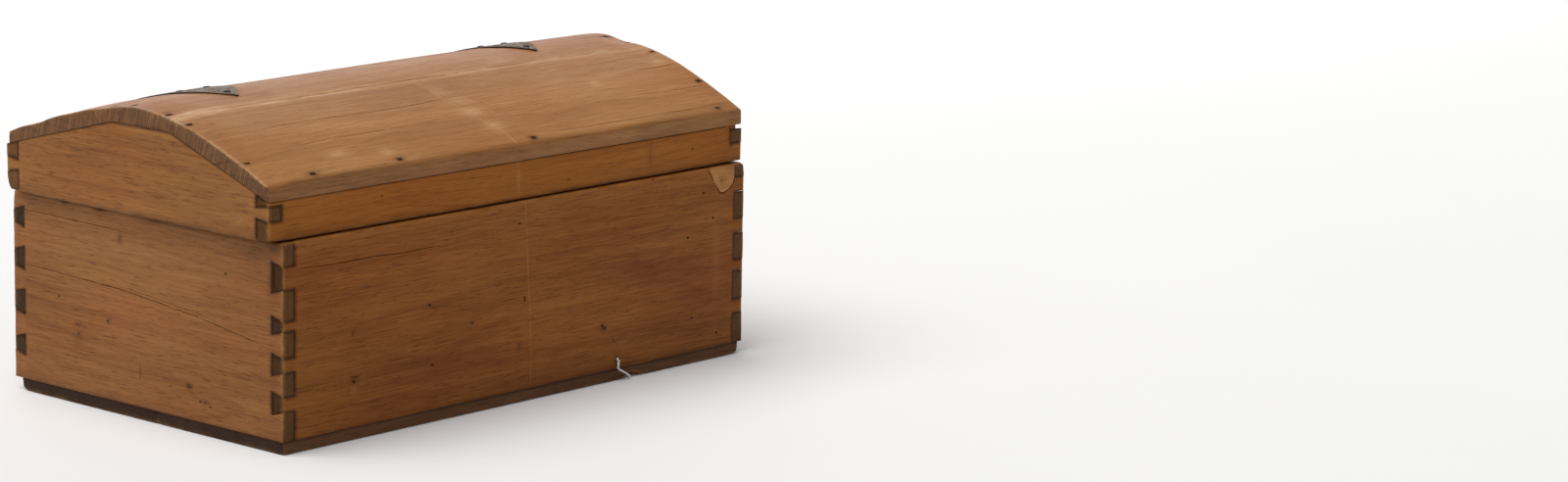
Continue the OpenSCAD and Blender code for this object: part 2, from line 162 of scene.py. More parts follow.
def lattice(us, vs, ws, keep):
    """The skin of the kept cells of a grid, as vertices and quads that face outwards."""
    c = [(a[1:] + a[:-1]) / 2 for a in (us, vs, ws)]
    u, v, w = np.meshgrid(*c, indexing="ij")
    pad = np.pad(keep(u, v, w), 1).astype(bool)
    nv, nw = len(vs), len(ws)

    def vid(i, j, k):
        return (i * nv + j) * nw + k

    quads = []
    for ax in range(3):
        sl = [slice(1, -1)] * 3
        a, b = list(sl), list(sl)
        a[ax], b[ax] = slice(0, -1), slice(1, None)
        left, right = pad[tuple(a)], pad[tuple(b)]
        for first, second, flip in ((left, right, False), (right, left, True)):
            i, j, k = np.nonzero(first & ~second)
            if ax == 0:
                q = [vid(i, j, k), vid(i, j + 1, k), vid(i, j + 1, k + 1), vid(i, j, k + 1)]
            elif ax == 1:
                q = [vid(i, j, k), vid(i, j, k + 1), vid(i + 1, j, k + 1), vid(i + 1, j, k)]
            else:
                q = [vid(i, j, k), vid(i + 1, j, k), vid(i + 1, j + 1, k), vid(i, j + 1, k)]
            q = np.stack(q[::-1] if flip else q, 1)
            quads.append(q)
    quads = np.concatenate(quads)
    used, inv = np.unique(quads, return_inverse=True)
    quads = inv.reshape(quads.shape)
    i, rest = used // (nv * nw), used % (nv * nw)
    return np.stack([us[i], vs[rest // nw], ws[rest % nw]], 1), quads


def rounded(p, lo, hi, r):
    """Points on or in a box, with the box's edges rounded to radius r, one radius for each point."""
    r = np.asarray(r, float)[:, None] * np.ones((1, 3))
    q = np.clip(p, lo + r, hi - r)
    d = p - q
    n = np.linalg.norm(d, axis=1, keepdims=True)
    return np.where(n > 1e-9, q + d / np.maximum(n, 1e-9) * np.minimum(n, r), p)


def edge_distance(p, lo, hi):
    """How far each point is from the nearest edge of a box."""
    d = np.minimum(p - lo, hi - p)
    return np.sort(np.abs(d), axis=1)[:, 1]


BIG = 1e4


class Board:
    """A worn board: a fine skin of quads, scored with cracks and marks, then worn down by its own function."""

    def __init__(self, name, verts, quads):
        self.name = name
        me = bpy.data.meshes.new(name)
        me.from_pydata(verts.tolist(), [], quads.tolist())
        self.bm = bmesh.new()
        self.bm.from_mesh(me)
        bpy.data.meshes.remove(me)
        self.crk = self.bm.verts.layers.float.new("crk")
        self.drk = self.bm.verts.layers.float.new("drk")
        self.lgt = self.bm.verts.layers.float.new("lgt")

    def _faces(self, out, test):
        n = Vector(out)
        picked = []
        for f in self.bm.faces:
            c = f.calc_center_median()
            if test(c) and f.normal.dot(n) > 0.6:
                picked.append(f)
        return picked

    def score(self, pts, out, half=0.45, depth=1.2, dark=1.0, light=0.0, taper=True, reach=9.0, deep=None):
        """Cuts a line of narrow faces along a path on the face that looks along out, and marks its middle."""
        self.bm.normal_update()
        n = Vector(out)
        pts = [Vector(p) for p in pts]
        total = sum((b - a).length for a, b in zip(pts[:-1], pts[1:]))
        run = 0.0
        for a, b in zip(pts[:-1], pts[1:]):
            d = b - a
            d -= n * d.dot(n)
            length = d.length
            d.normalize()
            side = n.cross(d)
            near = self._faces(out, lambda c: -reach < (c - a).dot(d) < length + reach and abs((c - a).dot(side)) < reach
                               and (deep is None or abs((c - a).dot(n)) < deep))
            geom = list({v for f in near for v in f.verts}) + list({e for f in near for e in f.edges}) + near
            for off in (-half, half, 0.0):
                res = bmesh.ops.bisect_plane(self.bm, geom=geom, dist=1e-4, plane_co=a + side * off, plane_no=side)
                geom = res["geom"]
                if off == 0.0:
                    for v in res["geom_cut"]:
                        if isinstance(v, bmesh.types.BMVert):
                            t = (v.co - a).dot(d)
                            if -1e-3 <= t <= length + 1e-3:
                                f = (run + t) / total
                                k = min(1.0, 5 * f, 5 * (1 - f)) if taper else 1.0
                                v[self.crk] = max(v[self.crk], depth * k)
                                v[self.drk] = max(v[self.drk], dark * (0.35 + 0.65 * k))
                                v[self.lgt] = max(v[self.lgt], light * (0.4 + 0.6 * k))
            run += length

    def pit(self, at, out, depth=1.0, dark=1.0, light=0.0, size=0.55):
        """A small hole or dent at the middle of the face nearest to a point."""
        self.bm.normal_update()
        p, n = Vector(at), Vector(out)
        best, far = None, 1e9
        for f in self.bm.faces:
            if f.normal.dot(n) > 0.6 and len(f.verts) == 4:
                g = (f.calc_center_median() - p).length
                if g < far:
                    best, far = f, g
        if best is None or far > 12:
            return
        edge = min(e.calc_length() for e in best.edges)
        bmesh.ops.inset_individual(self.bm, faces=[best], thickness=edge * (0.5 - size * 0.5) * 0.8)
        bmesh.ops.inset_individual(self.bm, faces=[best], thickness=edge * 0.1)
        for v in best.verts:
            v[self.crk] = depth
            v[self.drk] = dark
            v[self.lgt] = light

    def arrays(self):
        bm = self.bm
        p = np.array([v.co for v in bm.verts], float)
        lay = np.array([(v[self.crk], v[self.drk], v[self.lgt]) for v in bm.verts], float)
        bm.normal_update()
        n = np.array([v.normal for v in bm.verts], float)
        mind = np.ones(len(p))
        bm.verts.index_update()
        fi = np.array([lp.vert.index for f in bm.faces for lp in f.loops])
        fn = np.repeat(np.array([f.normal for f in bm.faces], float), [len(f.verts) for f in bm.faces], axis=0)
        np.minimum.at(mind, fi, np.einsum("ij,ij->i", fn, n[fi]))
        return p, n, lay, mind

    def make(self, worn, material, body, slot, replaces, remap=None):
        """worn(p, n, layers, sharp) gives new points and, for each, the wear with some painted highlights, the grime
        with painted shade and shadow, and the bleach; the piece then stands for its CAD nodes.
        """
        p, n, lay, mind = self.arrays()
        q, wear_and_painted_light, grime_and_shade, bleach = worn(p, n, lay, mind)
        me = bpy.data.meshes.new(self.name)
        self.bm.to_mesh(me)
        self.bm.free()
        me.vertices.foreach_set("co", (q * 0.001).astype(np.float32).ravel())
        for key in ("crk", "drk", "lgt"):
            if key in me.attributes:
                me.attributes.remove(me.attributes[key])
        for key, val in (("wear_and_painted_light", wear_and_painted_light), ("grime_and_shade", grime_and_shade), ("bleach", bleach)):
            at = me.attributes.new(key, "FLOAT", "POINT")
            at.data.foreach_set("value", np.clip(val, 0, 1).astype(np.float32))
        me.validate()
        me.update()
        me.shade_smooth()
        me.set_sharp_from_angle(angle=math.radians(50))
        me.materials.append(material)
        ob = bpy.data.objects.new(self.name, me)
        bpy.context.scene.collection.objects.link(ob)
        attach(ob, body)
        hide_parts(*replaces)
        return ob


# ------------------------------------------------------------------ materials


def lin(r, g, b):
    return tuple(c / 12.92 if c <= 0.04045 else ((c + 0.055) / 1.055) ** 2.4 for c in (r, g, b)) + (1.0,)


class Tree:
    def __init__(self, name):
        self.mat = bpy.data.materials.new(name)
        self.mat.use_nodes = True
        self.t = self.mat.node_tree
        self.t.nodes.clear()
        self.out = self.t.nodes.new("ShaderNodeOutputMaterial")

    def n(self, kind, **props):
        node = self.t.nodes.new(kind)
        for k, v in props.items():
            setattr(node, k, v)
        return node

    def put(self, sock, val):
        if hasattr(val, "is_linked"):
            self.t.links.new(val, sock)
        else:
            sock.default_value = val

    def math(self, op, a, b=0.0, c=0.0, clamp=False):
        m = self.n("ShaderNodeMath", operation=op, use_clamp=clamp)
        for s, v in zip(m.inputs, (a, b, c)):
            self.put(s, v)
        return m.outputs[0]

    def vec(self, x, y, z):
        m = self.n("ShaderNodeCombineXYZ")
        for s, v in zip(m.inputs, (x, y, z)):
            self.put(s, v)
        return m.outputs[0]

    def noise(self, vec, detail=2.0, rough=0.5, distort=0.0, scale=1.0):
        m = self.n("ShaderNodeTexNoise")
        self.put(m.inputs["Vector"], vec)
        m.inputs["Scale"].default_value = scale
        m.inputs["Detail"].default_value = detail
        m.inputs["Roughness"].default_value = rough
        m.inputs["Distortion"].default_value = distort
        return m.outputs["Fac"]

    def ramp(self, fac, stops):
        m = self.n("ShaderNodeValToRGB")
        self.put(m.inputs[0], fac)
        el = m.color_ramp.elements
        while len(el) < len(stops):
            el.new(0.5)
        for e, (pos, val) in zip(el, stops):
            e.position = pos
            e.color = val if isinstance(val, tuple) else (val, val, val, 1)
        return m.outputs[0]

    def span(self, val, a, b, c=0.0, d=1.0):
        m = self.n("ShaderNodeMapRange", interpolation_type="SMOOTHSTEP")
        for s, v in zip(m.inputs, (val, a, b, c, d)):
            self.put(s, v)
        return m.outputs[0]

    def mix(self, fac, a, b, blend="MIX"):
        m = self.n("ShaderNodeMix", data_type="RGBA", blend_type=blend)
        self.put(m.inputs[0], fac)
        self.put(m.inputs[6], a)
        self.put(m.inputs[7], b)
        return m.outputs[2]

    def attr(self, name):
        m = self.n("ShaderNodeAttribute", attribute_name=name)
        return m.outputs["Fac"]


def wood(name, axis, pith, light, mid, dark, end_light, end_dark, ring=5.5, seed=0.0, pore=1.0, streak=1.0,
         rough=0.47, worn_and_highlight_tint=lin(0.74, 0.54, 0.33), grime_and_shade_tint=lin(0.15, 0.09, 0.05), saw=0.0, blotch=1.0,
         scratch=0.5, gain=(1, 1, 1), spec=0.36):
    """Aged wood that is solid all through: rings round a pith beside the board, fibres and pores along the grain."""
    light, mid, dark = (tuple(c * g for c, g in zip(col, gain)) + (1.0,) for col in (light, mid, dark))
    t = Tree(name)
    tc = t.n("ShaderNodeTexCoord")
    mm = t.n("ShaderNodeVectorMath", operation="SCALE")
    t.put(mm.inputs[0], tc.outputs["Object"])
    mm.inputs["Scale"].default_value = 1000.0
    sep = t.n("ShaderNodeSeparateXYZ")
    t.put(sep.inputs[0], mm.outputs[0])
    x, y, z = sep.outputs
    L, A = (x, y) if axis == "X" else (y, x)
    L = t.math("ADD", L, seed * 137.0)
    A0 = A
    A = t.math("ADD", A, seed * 61.0)
    B = t.math("ADD", z, seed * 29.0)

    def nz(l, a, b, **k):
        return t.noise(t.vec(t.math("DIVIDE", L, l), t.math("DIVIDE", A, a), t.math("DIVIDE", B, b)), **k)

    w1 = t.math("SUBTRACT", nz(260, 70, 70, detail=1.0), 0.5)
    w2 = t.math("SUBTRACT", nz(70, 22, 22, detail=2.0), 0.5)
    da = t.math("SUBTRACT", A0, pith[0])
    db = t.math("SUBTRACT", z, pith[1])
    rr = t.math("SQRT", t.math("ADD", t.math("MULTIPLY", da, da), t.math("MULTIPLY", db, db)))
    rr = t.math("MULTIPLY_ADD", w1, 34.0, rr)
    rr = t.math("MULTIPLY_ADD", w2, 5.0, rr)
    ph = t.math("DIVIDE", rr, ring)
    fr = t.math("FRACT", ph)
    wn = t.n("ShaderNodeTexWhiteNoise", noise_dimensions="1D")
    t.put(wn.inputs["W"], t.math("FLOOR", ph))
    per = wn.outputs["Value"]
    late = t.ramp(fr, [(0.0, 0.15), (0.5, 0.35), (0.86, 1.0), (0.95, 0.75), (1.0, 0.15)])
    late = t.math("MULTIPLY", late, t.math("MULTIPLY_ADD", per, 0.8, 0.3))

    fib = nz(34, 1.1, 1.1, detail=4.0, rough=0.62)
    band = nz(190, 9, 9, detail=3.0, rough=0.55)
    wide = nz(240, 60, 60, detail=2.0, rough=0.5)
    por = nz(13, 1.2, 1.2, detail=2.0, rough=0.5)
    pors = t.span(por, 0.56, 0.70)

    tone = t.math("MULTIPLY", late, 0.20)
    tone = t.math("MULTIPLY_ADD", t.math("SUBTRACT", band, 0.5), 0.62 * streak, tone)
    tone = t.math("MULTIPLY_ADD", t.math("SUBTRACT", wide, 0.5), 0.75 * blotch, tone)
    tone = t.math("MULTIPLY_ADD", t.math("SUBTRACT", fib, 0.5), 1.2, tone)
    tone = t.math("ADD", tone, 0.30, clamp=True)
    col = t.ramp(tone, [(0.0, light), (0.42, mid), (1.0, dark)])
    # reddish and yellowish clouds in the finish
    hue = t.span(nz(150, 45, 45, detail=2.0), 0.38, 0.66)
    col = t.mix(t.math("MULTIPLY", hue, 0.22 * blotch), col, t.mix(1.0, col, lin(1.0, 0.80, 0.62), "MULTIPLY"))
    col = t.mix(t.math("MULTIPLY", pors, 0.42 * pore), col, t.mix(1.0, col, lin(0.60, 0.50, 0.42), "MULTIPLY"))
    # short light and dark handling marks
    vor = t.n("ShaderNodeTexVoronoi", feature="DISTANCE_TO_EDGE")
    t.put(vor.inputs["Vector"], t.vec(t.math("DIVIDE", t.math("ADD", L, t.math("MULTIPLY", z, 0.35)), 46.0), t.math("DIVIDE", A, 31.0), t.math("DIVIDE", B, 23.0)))
    hair = t.span(vor.outputs["Distance"], 0.0, 0.016, 1.0, 0.0)
    some = t.span(nz(60, 40, 40, detail=1.0), 0.56, 0.66)
    col = t.mix(t.math("MULTIPLY", t.math("MULTIPLY", hair, some), 0.34 * scratch), col, worn_and_highlight_tint)

    # end grain
    nrm = t.n("ShaderNodeSeparateXYZ")
    t.put(nrm.inputs[0], tc.outputs["Normal"])
    endm = t.span(t.math("ABSOLUTE", nrm.outputs[0 if axis == "X" else 1]), 0.55, 0.82)
    eg = t.noise(t.vec(t.math("DIVIDE", L, 60.0), t.math("DIVIDE", A, 0.9), t.math("DIVIDE", B, 0.9)), detail=3.0, rough=0.6)
    eb = t.noise(t.vec(t.math("DIVIDE", L, 90.0), t.math("DIVIDE", A, 14.0), t.math("DIVIDE", B, 14.0)), detail=3.0, rough=0.6)
    et = t.math("MULTIPLY", late, 0.30)
    et = t.math("MULTIPLY_ADD", t.math("SUBTRACT", eg, 0.5), 0.9, et)
    et = t.math("MULTIPLY_ADD", t.math("SUBTRACT", eb, 0.5), 0.8, et)
    sw = t.noise(t.vec(t.math("DIVIDE", t.math("MULTIPLY_ADD", z, 0.28, A), 1.5), t.math("DIVIDE", B, 34.0), t.math("DIVIDE", L, 80.0)), detail=2.0, rough=0.7)
    swm = t.span(sw, 0.42, 0.62)
    et = t.math("MULTIPLY_ADD", t.math("SUBTRACT", 0.5, swm), 0.6 * saw, et)
    et = t.math("ADD", et, 0.34, clamp=True)
    ecol = t.mix(et, end_light, end_dark)
    col = t.mix(endm, col, ecol)

    # wear with some painted highlights, bleach, and grime with painted shade and shadow, broken up so that no border is
    # clean
    brk = nz(22, 3.0, 3.0, detail=3.0, rough=0.65)
    wear_and_painted_light = t.math("MULTIPLY", t.attr("wear_and_painted_light"), t.span(brk, 0.30, 0.62, 0.25, 1.0), clamp=True)
    col = t.mix(t.math("MULTIPLY", wear_and_painted_light, 0.85), col, worn_and_highlight_tint)
    col = t.mix(t.math("MULTIPLY", t.attr("bleach"), 0.85), col, lin(0.60, 0.54, 0.47))
    dirt_and_shade = t.math("MULTIPLY", t.attr("grime_and_shade"), t.span(brk, 0.25, 0.75, 1.12, 0.72), clamp=True)
    col = t.mix(t.math("MULTIPLY", dirt_and_shade, 0.93), col, grime_and_shade_tint)

    height = t.math("MULTIPLY", fib, 0.55)
    height = t.math("MULTIPLY_ADD", pors, -0.55, height)
    height = t.math("MULTIPLY_ADD", late, 0.22, height)
    height = t.math("MULTIPLY_ADD", t.math("MULTIPLY", swm, endm), 1.1 * max(saw, 0.25), height)
    height = t.math("MULTIPLY_ADD", t.math("MULTIPLY", hair, some), -0.6, height)
    bump = t.n("ShaderNodeBump")
    bump.inputs["Strength"].default_value = 0.55
    bump.inputs["Distance"].default_value = 0.0005
    t.put(bump.inputs["Height"], height)

    ro = t.math("MULTIPLY_ADD", t.math("SUBTRACT", fib, 0.5), 0.35, rough)
    ro = t.math("MULTIPLY_ADD", wide, 0.12, ro)
    ro = t.math("MULTIPLY_ADD", dirt_and_shade, 0.25, ro)
    ro = t.math("MULTIPLY_ADD", endm, 0.2, ro, clamp=True)
    bs = t.n("ShaderNodeBsdfPrincipled")
    t.put(bs.inputs["Base Color"], col)
    t.put(bs.inputs["Roughness"], ro)
    bs.inputs["IOR"].default_value = 1.46
    bs.inputs["Specular IOR Level"].default_value = spec
    t.put(bs.inputs["Normal"], bump.outputs[0])
    t.t.links.new(bs.outputs[0], t.out.inputs[0])
    return t.mat


def metal(name, clean, rust, dark, amount=0.5, rough=0.45, size=3.0, bump_mm=0.25):
    """Old metal: bare patches, brown or black oxide in noise-edged clouds, and a pitted surface."""
    t = Tree(name)
    tc = t.n("ShaderNodeTexCoord")
    mm = t.n("ShaderNodeVectorMath", operation="SCALE")
    t.put(mm.inputs[0], tc.outputs["Object"])
    mm.inputs["Scale"].default_value = 1000.0 / size
    a = t.noise(mm.outputs[0], detail=4.0, rough=0.65)
    b = t.noise(mm.outputs[0], detail=3.0, rough=0.6, scale=3.4)
    c = t.noise(mm.outputs[0], detail=2.0, rough=0.5, scale=0.37)
    fac = t.span(t.math("MULTIPLY_ADD", c, 0.5, a), 0.95 - amount * 0.5, 1.15 - amount * 0.5)
    col = t.mix(fac, clean, rust)
    col = t.mix(t.span(b, 0.52, 0.7), col, dark)
    geo = t.n("ShaderNodeNewGeometry")
    edge = t.span(geo.outputs["Pointiness"], 0.52, 0.60)
    col = t.mix(t.math("MULTIPLY", edge, 0.5), col, clean)
    bump = t.n("ShaderNodeBump")
    bump.inputs["Strength"].default_value = 0.6
    bump.inputs["Distance"].default_value = bump_mm * 0.001
    t.put(bump.inputs["Height"], t.math("MULTIPLY_ADD", b, 0.6, a))
    bs = t.n("ShaderNodeBsdfPrincipled")
    t.put(bs.inputs["Base Color"], col)
    t.put(bs.inputs["Metallic"], t.math("MULTIPLY_ADD", fac, -0.75, 0.95, clamp=True))
    t.put(bs.inputs["Roughness"], t.math("MULTIPLY_ADD", fac, 0.35, rough, clamp=True))
    t.put(bs.inputs["Normal"], bump.outputs[0])
    t.t.links.new(bs.outputs[0], t.out.inputs[0])
    return t.mat


END_L, END_D = lin(0.35, 0.225, 0.11), lin(0.15, 0.09, 0.04)
TAIL_L, TAIL_D = lin(0.43, 0.275, 0.11), lin(0.25, 0.15, 0.05)
TOP_L, TOP_D = lin(0.54, 0.365, 0.21), lin(0.31, 0.20, 0.11)

M_FRONT = wood("wood_front", "X", (BY0 + 95, 40), lin(0.69, 0.47, 0.30), lin(0.60, 0.385, 0.225), lin(0.44, 0.265, 0.15),
               END_L, END_D, ring=7.5, seed=1.3, pore=1.1, streak=1.1, blotch=1.1, gain=(0.745, 0.61, 0.225), spec=0.18,
               worn_and_highlight_tint=lin(0.74, 0.52, 0.30))
M_BACK = wood("wood_back", "X", (BY1 - 90, 150), lin(0.68, 0.46, 0.29), lin(0.59, 0.375, 0.22), lin(0.43, 0.26, 0.145),
              lin(0.32, 0.225, 0.14), lin(0.13, 0.09, 0.055), ring=6.5, seed=4.7, pore=0.9, gain=(0.72, 0.57, 0.26), spec=0.2)
M_LEND = wood("wood_left_end", "Y", (BX0 + 80, 20), lin(0.74, 0.53, 0.35), lin(0.655, 0.445, 0.275), lin(0.49, 0.31, 0.18),
              TAIL_L, TAIL_D, ring=6.0, seed=2.1, pore=1.3, streak=1.4, blotch=0.9, gain=(0.70, 0.61, 0.37), spec=0.28)
M_REND = wood("wood_right_end", "Y", (BX1 - 70, 170), lin(0.73, 0.52, 0.34), lin(0.64, 0.43, 0.265), lin(0.48, 0.30, 0.175),
              TAIL_L, TAIL_D, ring=6.5, seed=5.9, pore=1.1, gain=(0.70, 0.61, 0.37), spec=0.28)
M_BOT = wood("wood_bottom", "X", (0, -120), lin(0.55, 0.39, 0.25), lin(0.46, 0.315, 0.195), lin(0.31, 0.20, 0.12),
             lin(0.28, 0.19, 0.12), lin(0.12, 0.08, 0.045), ring=6.0, seed=7.4, rough=0.6, saw=0.3, gain=(0.85, 0.74, 0.58))
M_PATCH = wood("wood_patch", "X", (BY0 + 60, 240), lin(0.84, 0.66, 0.42), lin(0.76, 0.565, 0.335), lin(0.60, 0.42, 0.22),
               END_L, END_D, ring=4.5, seed=3.3, pore=0.6, scratch=0.2, gain=(0.72, 0.57, 0.38), spec=0.25)
M_RAILF = wood("wood_rail_front", "X", (LY0 + 70, 150), lin(0.71, 0.50, 0.28), lin(0.63, 0.42, 0.215), lin(0.47, 0.295, 0.14),
               TAIL_L, TAIL_D, ring=5.0, seed=8.2, pore=0.7, streak=1.0, gain=(0.82, 0.615, 0.205), spec=0.18)
M_RAILB = wood("wood_rail_back", "X", (LY1 - 60, 260), lin(0.70, 0.49, 0.28), lin(0.61, 0.405, 0.215), lin(0.45, 0.285, 0.14),
               lin(0.50, 0.34, 0.19), lin(0.33, 0.21, 0.11), ring=5.5, seed=9.6, pore=0.7, gain=(0.79, 0.60, 0.26), spec=0.2)
M_GAB = wood("wood_gable", "Y", (LX0 + 60, 110), lin(0.74, 0.53, 0.345), lin(0.66, 0.45, 0.275), lin(0.51, 0.325, 0.185),
             TAIL_L, TAIL_D, ring=6.0, seed=6.6, pore=1.2, streak=1.4, blotch=0.8, gain=(0.75, 0.67, 0.40), spec=0.28)
M_TOPF = wood("wood_top_front", "X", (LY0 + 30, 120), lin(0.78, 0.575, 0.41), lin(0.70, 0.49, 0.325), lin(0.56, 0.365, 0.23),
              TOP_L, TOP_D, ring=7.0, seed=10.5, pore=0.7, saw=1.0, rough=0.44, gain=(0.86, 0.79, 0.50),
              worn_and_highlight_tint=lin(0.90, 0.74, 0.55), grime_and_shade_tint=lin(0.17, 0.085, 0.025))
M_TOPC = wood("wood_top_crest", "X", (LY0 + 170, 130), lin(0.78, 0.575, 0.415), lin(0.705, 0.495, 0.335), lin(0.57, 0.375, 0.24),
              TOP_L, TOP_D, ring=8.0, seed=11.7, pore=0.7, saw=0.9, rough=0.43, gain=(0.81, 0.72, 0.425),
              worn_and_highlight_tint=lin(0.92, 0.77, 0.60))
M_TOPB = wood("wood_top_back", "X", (LY1 - 40, 110), lin(0.77, 0.565, 0.40), lin(0.69, 0.48, 0.32), lin(0.55, 0.36, 0.225),
              TOP_L, TOP_D, ring=7.0, seed=12.9, pore=0.8, saw=0.8, rough=0.44, gain=(0.84, 0.76, 0.54))
M_STRAP = metal("iron_straps", lin(0.50, 0.44, 0.38), lin(0.44, 0.33, 0.25), lin(0.24, 0.17, 0.12), amount=0.55, rough=0.5, size=5.0, bump_mm=0.2)
# The straps' sides, ends and underside take this near-black iron: rust, and painted shade for the shadow line under
# each strap's edge.
M_EDGE_RUST_AND_SHADE = metal("iron_strap_edges_rust_and_shade", lin(0.17, 0.14, 0.12), lin(0.14, 0.085, 0.06), lin(0.06, 0.045, 0.04), amount=0.9, rough=0.6, size=3.0)
M_NAIL = metal("iron_nails", lin(0.30, 0.28, 0.27), lin(0.20, 0.12, 0.08), lin(0.07, 0.055, 0.05), amount=0.8, rough=0.5, size=2.0)
M_NAILR = metal("iron_nails_rubbed", lin(0.56, 0.42, 0.30), lin(0.50, 0.34, 0.22), lin(0.36, 0.24, 0.16), amount=0.9, rough=0.5, size=2.0)
M_HINGE = metal("iron_hinges", lin(0.36, 0.34, 0.33), lin(0.27, 0.16, 0.10), lin(0.10, 0.08, 0.07), amount=0.75, rough=0.45, size=5.0)
M_PIN = metal("steel_pins", lin(0.50, 0.49, 0.47), lin(0.25, 0.17, 0.12), lin(0.14, 0.12, 0.11), amount=0.45, rough=0.35, size=3.0)
M_SCREW = metal("steel_screws", lin(0.46, 0.44, 0.42), lin(0.26, 0.17, 0.11), lin(0.12, 0.10, 0.09), amount=0.55, rough=0.4, size=2.0)
M_WIRE = metal("steel_wire", lin(0.96, 0.96, 0.94), lin(0.72, 0.68, 0.62), lin(0.55, 0.52, 0.49), amount=0.15, rough=0.25, size=4.0, bump_mm=0.08)

# ------------------------------------------------------------------ body boards


def tail_z(table):
    return [(WZ0 + a * WALL, WZ0 + b * WALL) for a, b in TAILS[table]]


def taper(z, table, share):
    """The dovetails narrow away from the corner face: grid lines on a tail's edges follow its slope."""
    ks, vs = [WZ0], [0.0]
    for i, (a, b) in enumerate(tail_z(table)):
        if i > 0:
            ks.append(a)
            vs.append(FLARE)
        if i < 4:
            ks.append(b)
            vs.append(-FLARE)
    ks.append(WZ1)
    vs.append(0.0)
    return z + np.interp(z, ks, vs) * share


def body_radius(p, seed):
    """Rounding of the outer edges: most at the upright corners and the top edge, least along the bottom joint."""
    r = 1.15 + 0.55 * noise(p, (60, 60, 26), seed) + 0.35 * noise(p, 9, seed + 5)
    low = smooth((p[:, 2] - WZ0) / 6)
    corner = np.exp(-((np.abs(np.abs(p[:, 0]) - BX1) / 14) ** 2)) * smooth((p[:, 2] - WZ1 + 14) / 14)
    r = r * (0.42 + 0.58 * low) + 2.4 * corner
    return np.clip(r, 0.35, 5.0)


BLO, BHI = np.array([BX0, BY0, WZ0]), np.array([BX1, BY1, WZ1])


def spots(q, pts, cols=(0, 2)):
    """Sum of soft round marks: each is two coordinates in the face, a width along and across, and a strength."""
    out = np.zeros(len(q))
    for a, b, wa, wb, k in pts:
        out = np.maximum(out, k * np.exp(-(((q[:, cols[0]] - a) / wa) ** 2 + ((q[:, cols[1]] - b) / wb) ** 2)))
    return out


def body_wear_and_shade(p, n, lay, mind, seed, dark_spots=(), light_spots=(), cols=(0, 2), inner_edge=None, recess=None, face=None):
    r = body_radius(p, seed)
    q = rounded(p, BLO, BHI, r)
    if inner_edge is not None:
        lo, hi = inner_edge
        q = rounded(q, lo, hi, 0.7 + 0.3 * noise(p, 30, seed + 3))
    ed = edge_distance(p, BLO, BHI)
    outer = np.linalg.norm(q - p, axis=1) > 0.05
    joint = (mind < 0.93) & ~outer
    q = q - n * np.where(joint, 0.32 + 0.10 * noise(p, 7, seed + 11), 0)[:, None]
    if recess is not None:
        q = q + recess(p)
    q = q + n * (0.28 * noise(p, (150, 150, 70), seed + 21, 1) + 0.10 * noise(p, (40, 40, 9), seed + 22))[:, None] * (mind > 0.93)[:, None]
    # long soft dents along the worn edges
    q = q - n * (0.5 * np.maximum(0, noise(p, (34, 34, 16), seed + 40)) * np.exp(-((ed / 5) ** 2)))[:, None]
    q = q - n * lay[:, 0:1]
    wear_and_painted_light = np.exp(-((ed / 2.0) ** 2)) * (0.42 + 0.5 * noise(p, (26, 26, 12), seed + 31))
    wear_and_painted_light = wear_and_painted_light * smooth((p[:, 2] - WZ0 - 4) / 10)
    grime_and_shade = np.where(joint, 0.8, 0.0)
    grime_and_shade = np.maximum(grime_and_shade, 0.55 * np.exp(-np.maximum(0, p[:, 2] - WZ0) / 2.2))
    grime_and_shade = np.maximum(grime_and_shade, 0.34 * np.exp(-np.maximum(0, p[:, 2] - WZ0) / 12) * (0.7 + 0.5 * noise(p, 40, seed + 7)))
    if face is not None:
        on = face(p)
        grime_and_shade = np.maximum(grime_and_shade, spots(p, dark_spots, cols) * on)
        wear_and_painted_light = np.maximum(wear_and_painted_light, spots(p, light_spots, cols) * on)
    grime_and_shade = np.maximum(grime_and_shade, lay[:, 1])
    wear_and_painted_light = np.maximum(wear_and_painted_light * (1 - lay[:, 1]), lay[:, 2])
    return q, wear_and_painted_light, grime_and_shade, np.zeros(len(p))


def front_like(name, y_out, y_in, tables):
    left, right = (tail_z(k) for k in tables)
    zmarks = [v for ab in left + right for v in ab]
    xs_marks = [BX0 + END, BX1 - END]
    xs = lines(BX0, BX1, 3.6, xs_marks)
    zs = lines(WZ0, WZ1, 3.0, zmarks)
    ys = lines(min(y_out, y_in), max(y_out, y_in), 4.0, end_fine=(0.7, 2.0))

    def keep(x, y, z):
        k = np.ones(x.shape, bool)
        for a, b in left:
            k &= ~((x < BX0 + END) & (z > a) & (z < b))
        for a, b in right:
            k &= ~((x > BX1 - END) & (z > a) & (z < b))
        return k

    v, q = lattice(xs, ys, zs, keep)
    share = np.abs(v[:, 1] - y_out) / SIDE
    wl = 1 - smooth((v[:, 0] - BX0 - END) / 30)
    wr = 1 - smooth((BX1 - END - v[:, 0]) / 30)
    z = v[:, 2].copy()
    v[:, 2] = z + (taper(z, tables[0], share) - z) * wl + (taper(z, tables[1], share) - z) * wr * 1.0
    return Board(name, v, q)


fb = front_like("front_board_worn", BY0, BY0 + SIDE, ("FL", "FR"))
OUT = (0, -1, 0)


def on_front(*xz):
    return [(x, BY0, z) for x, z in xz]


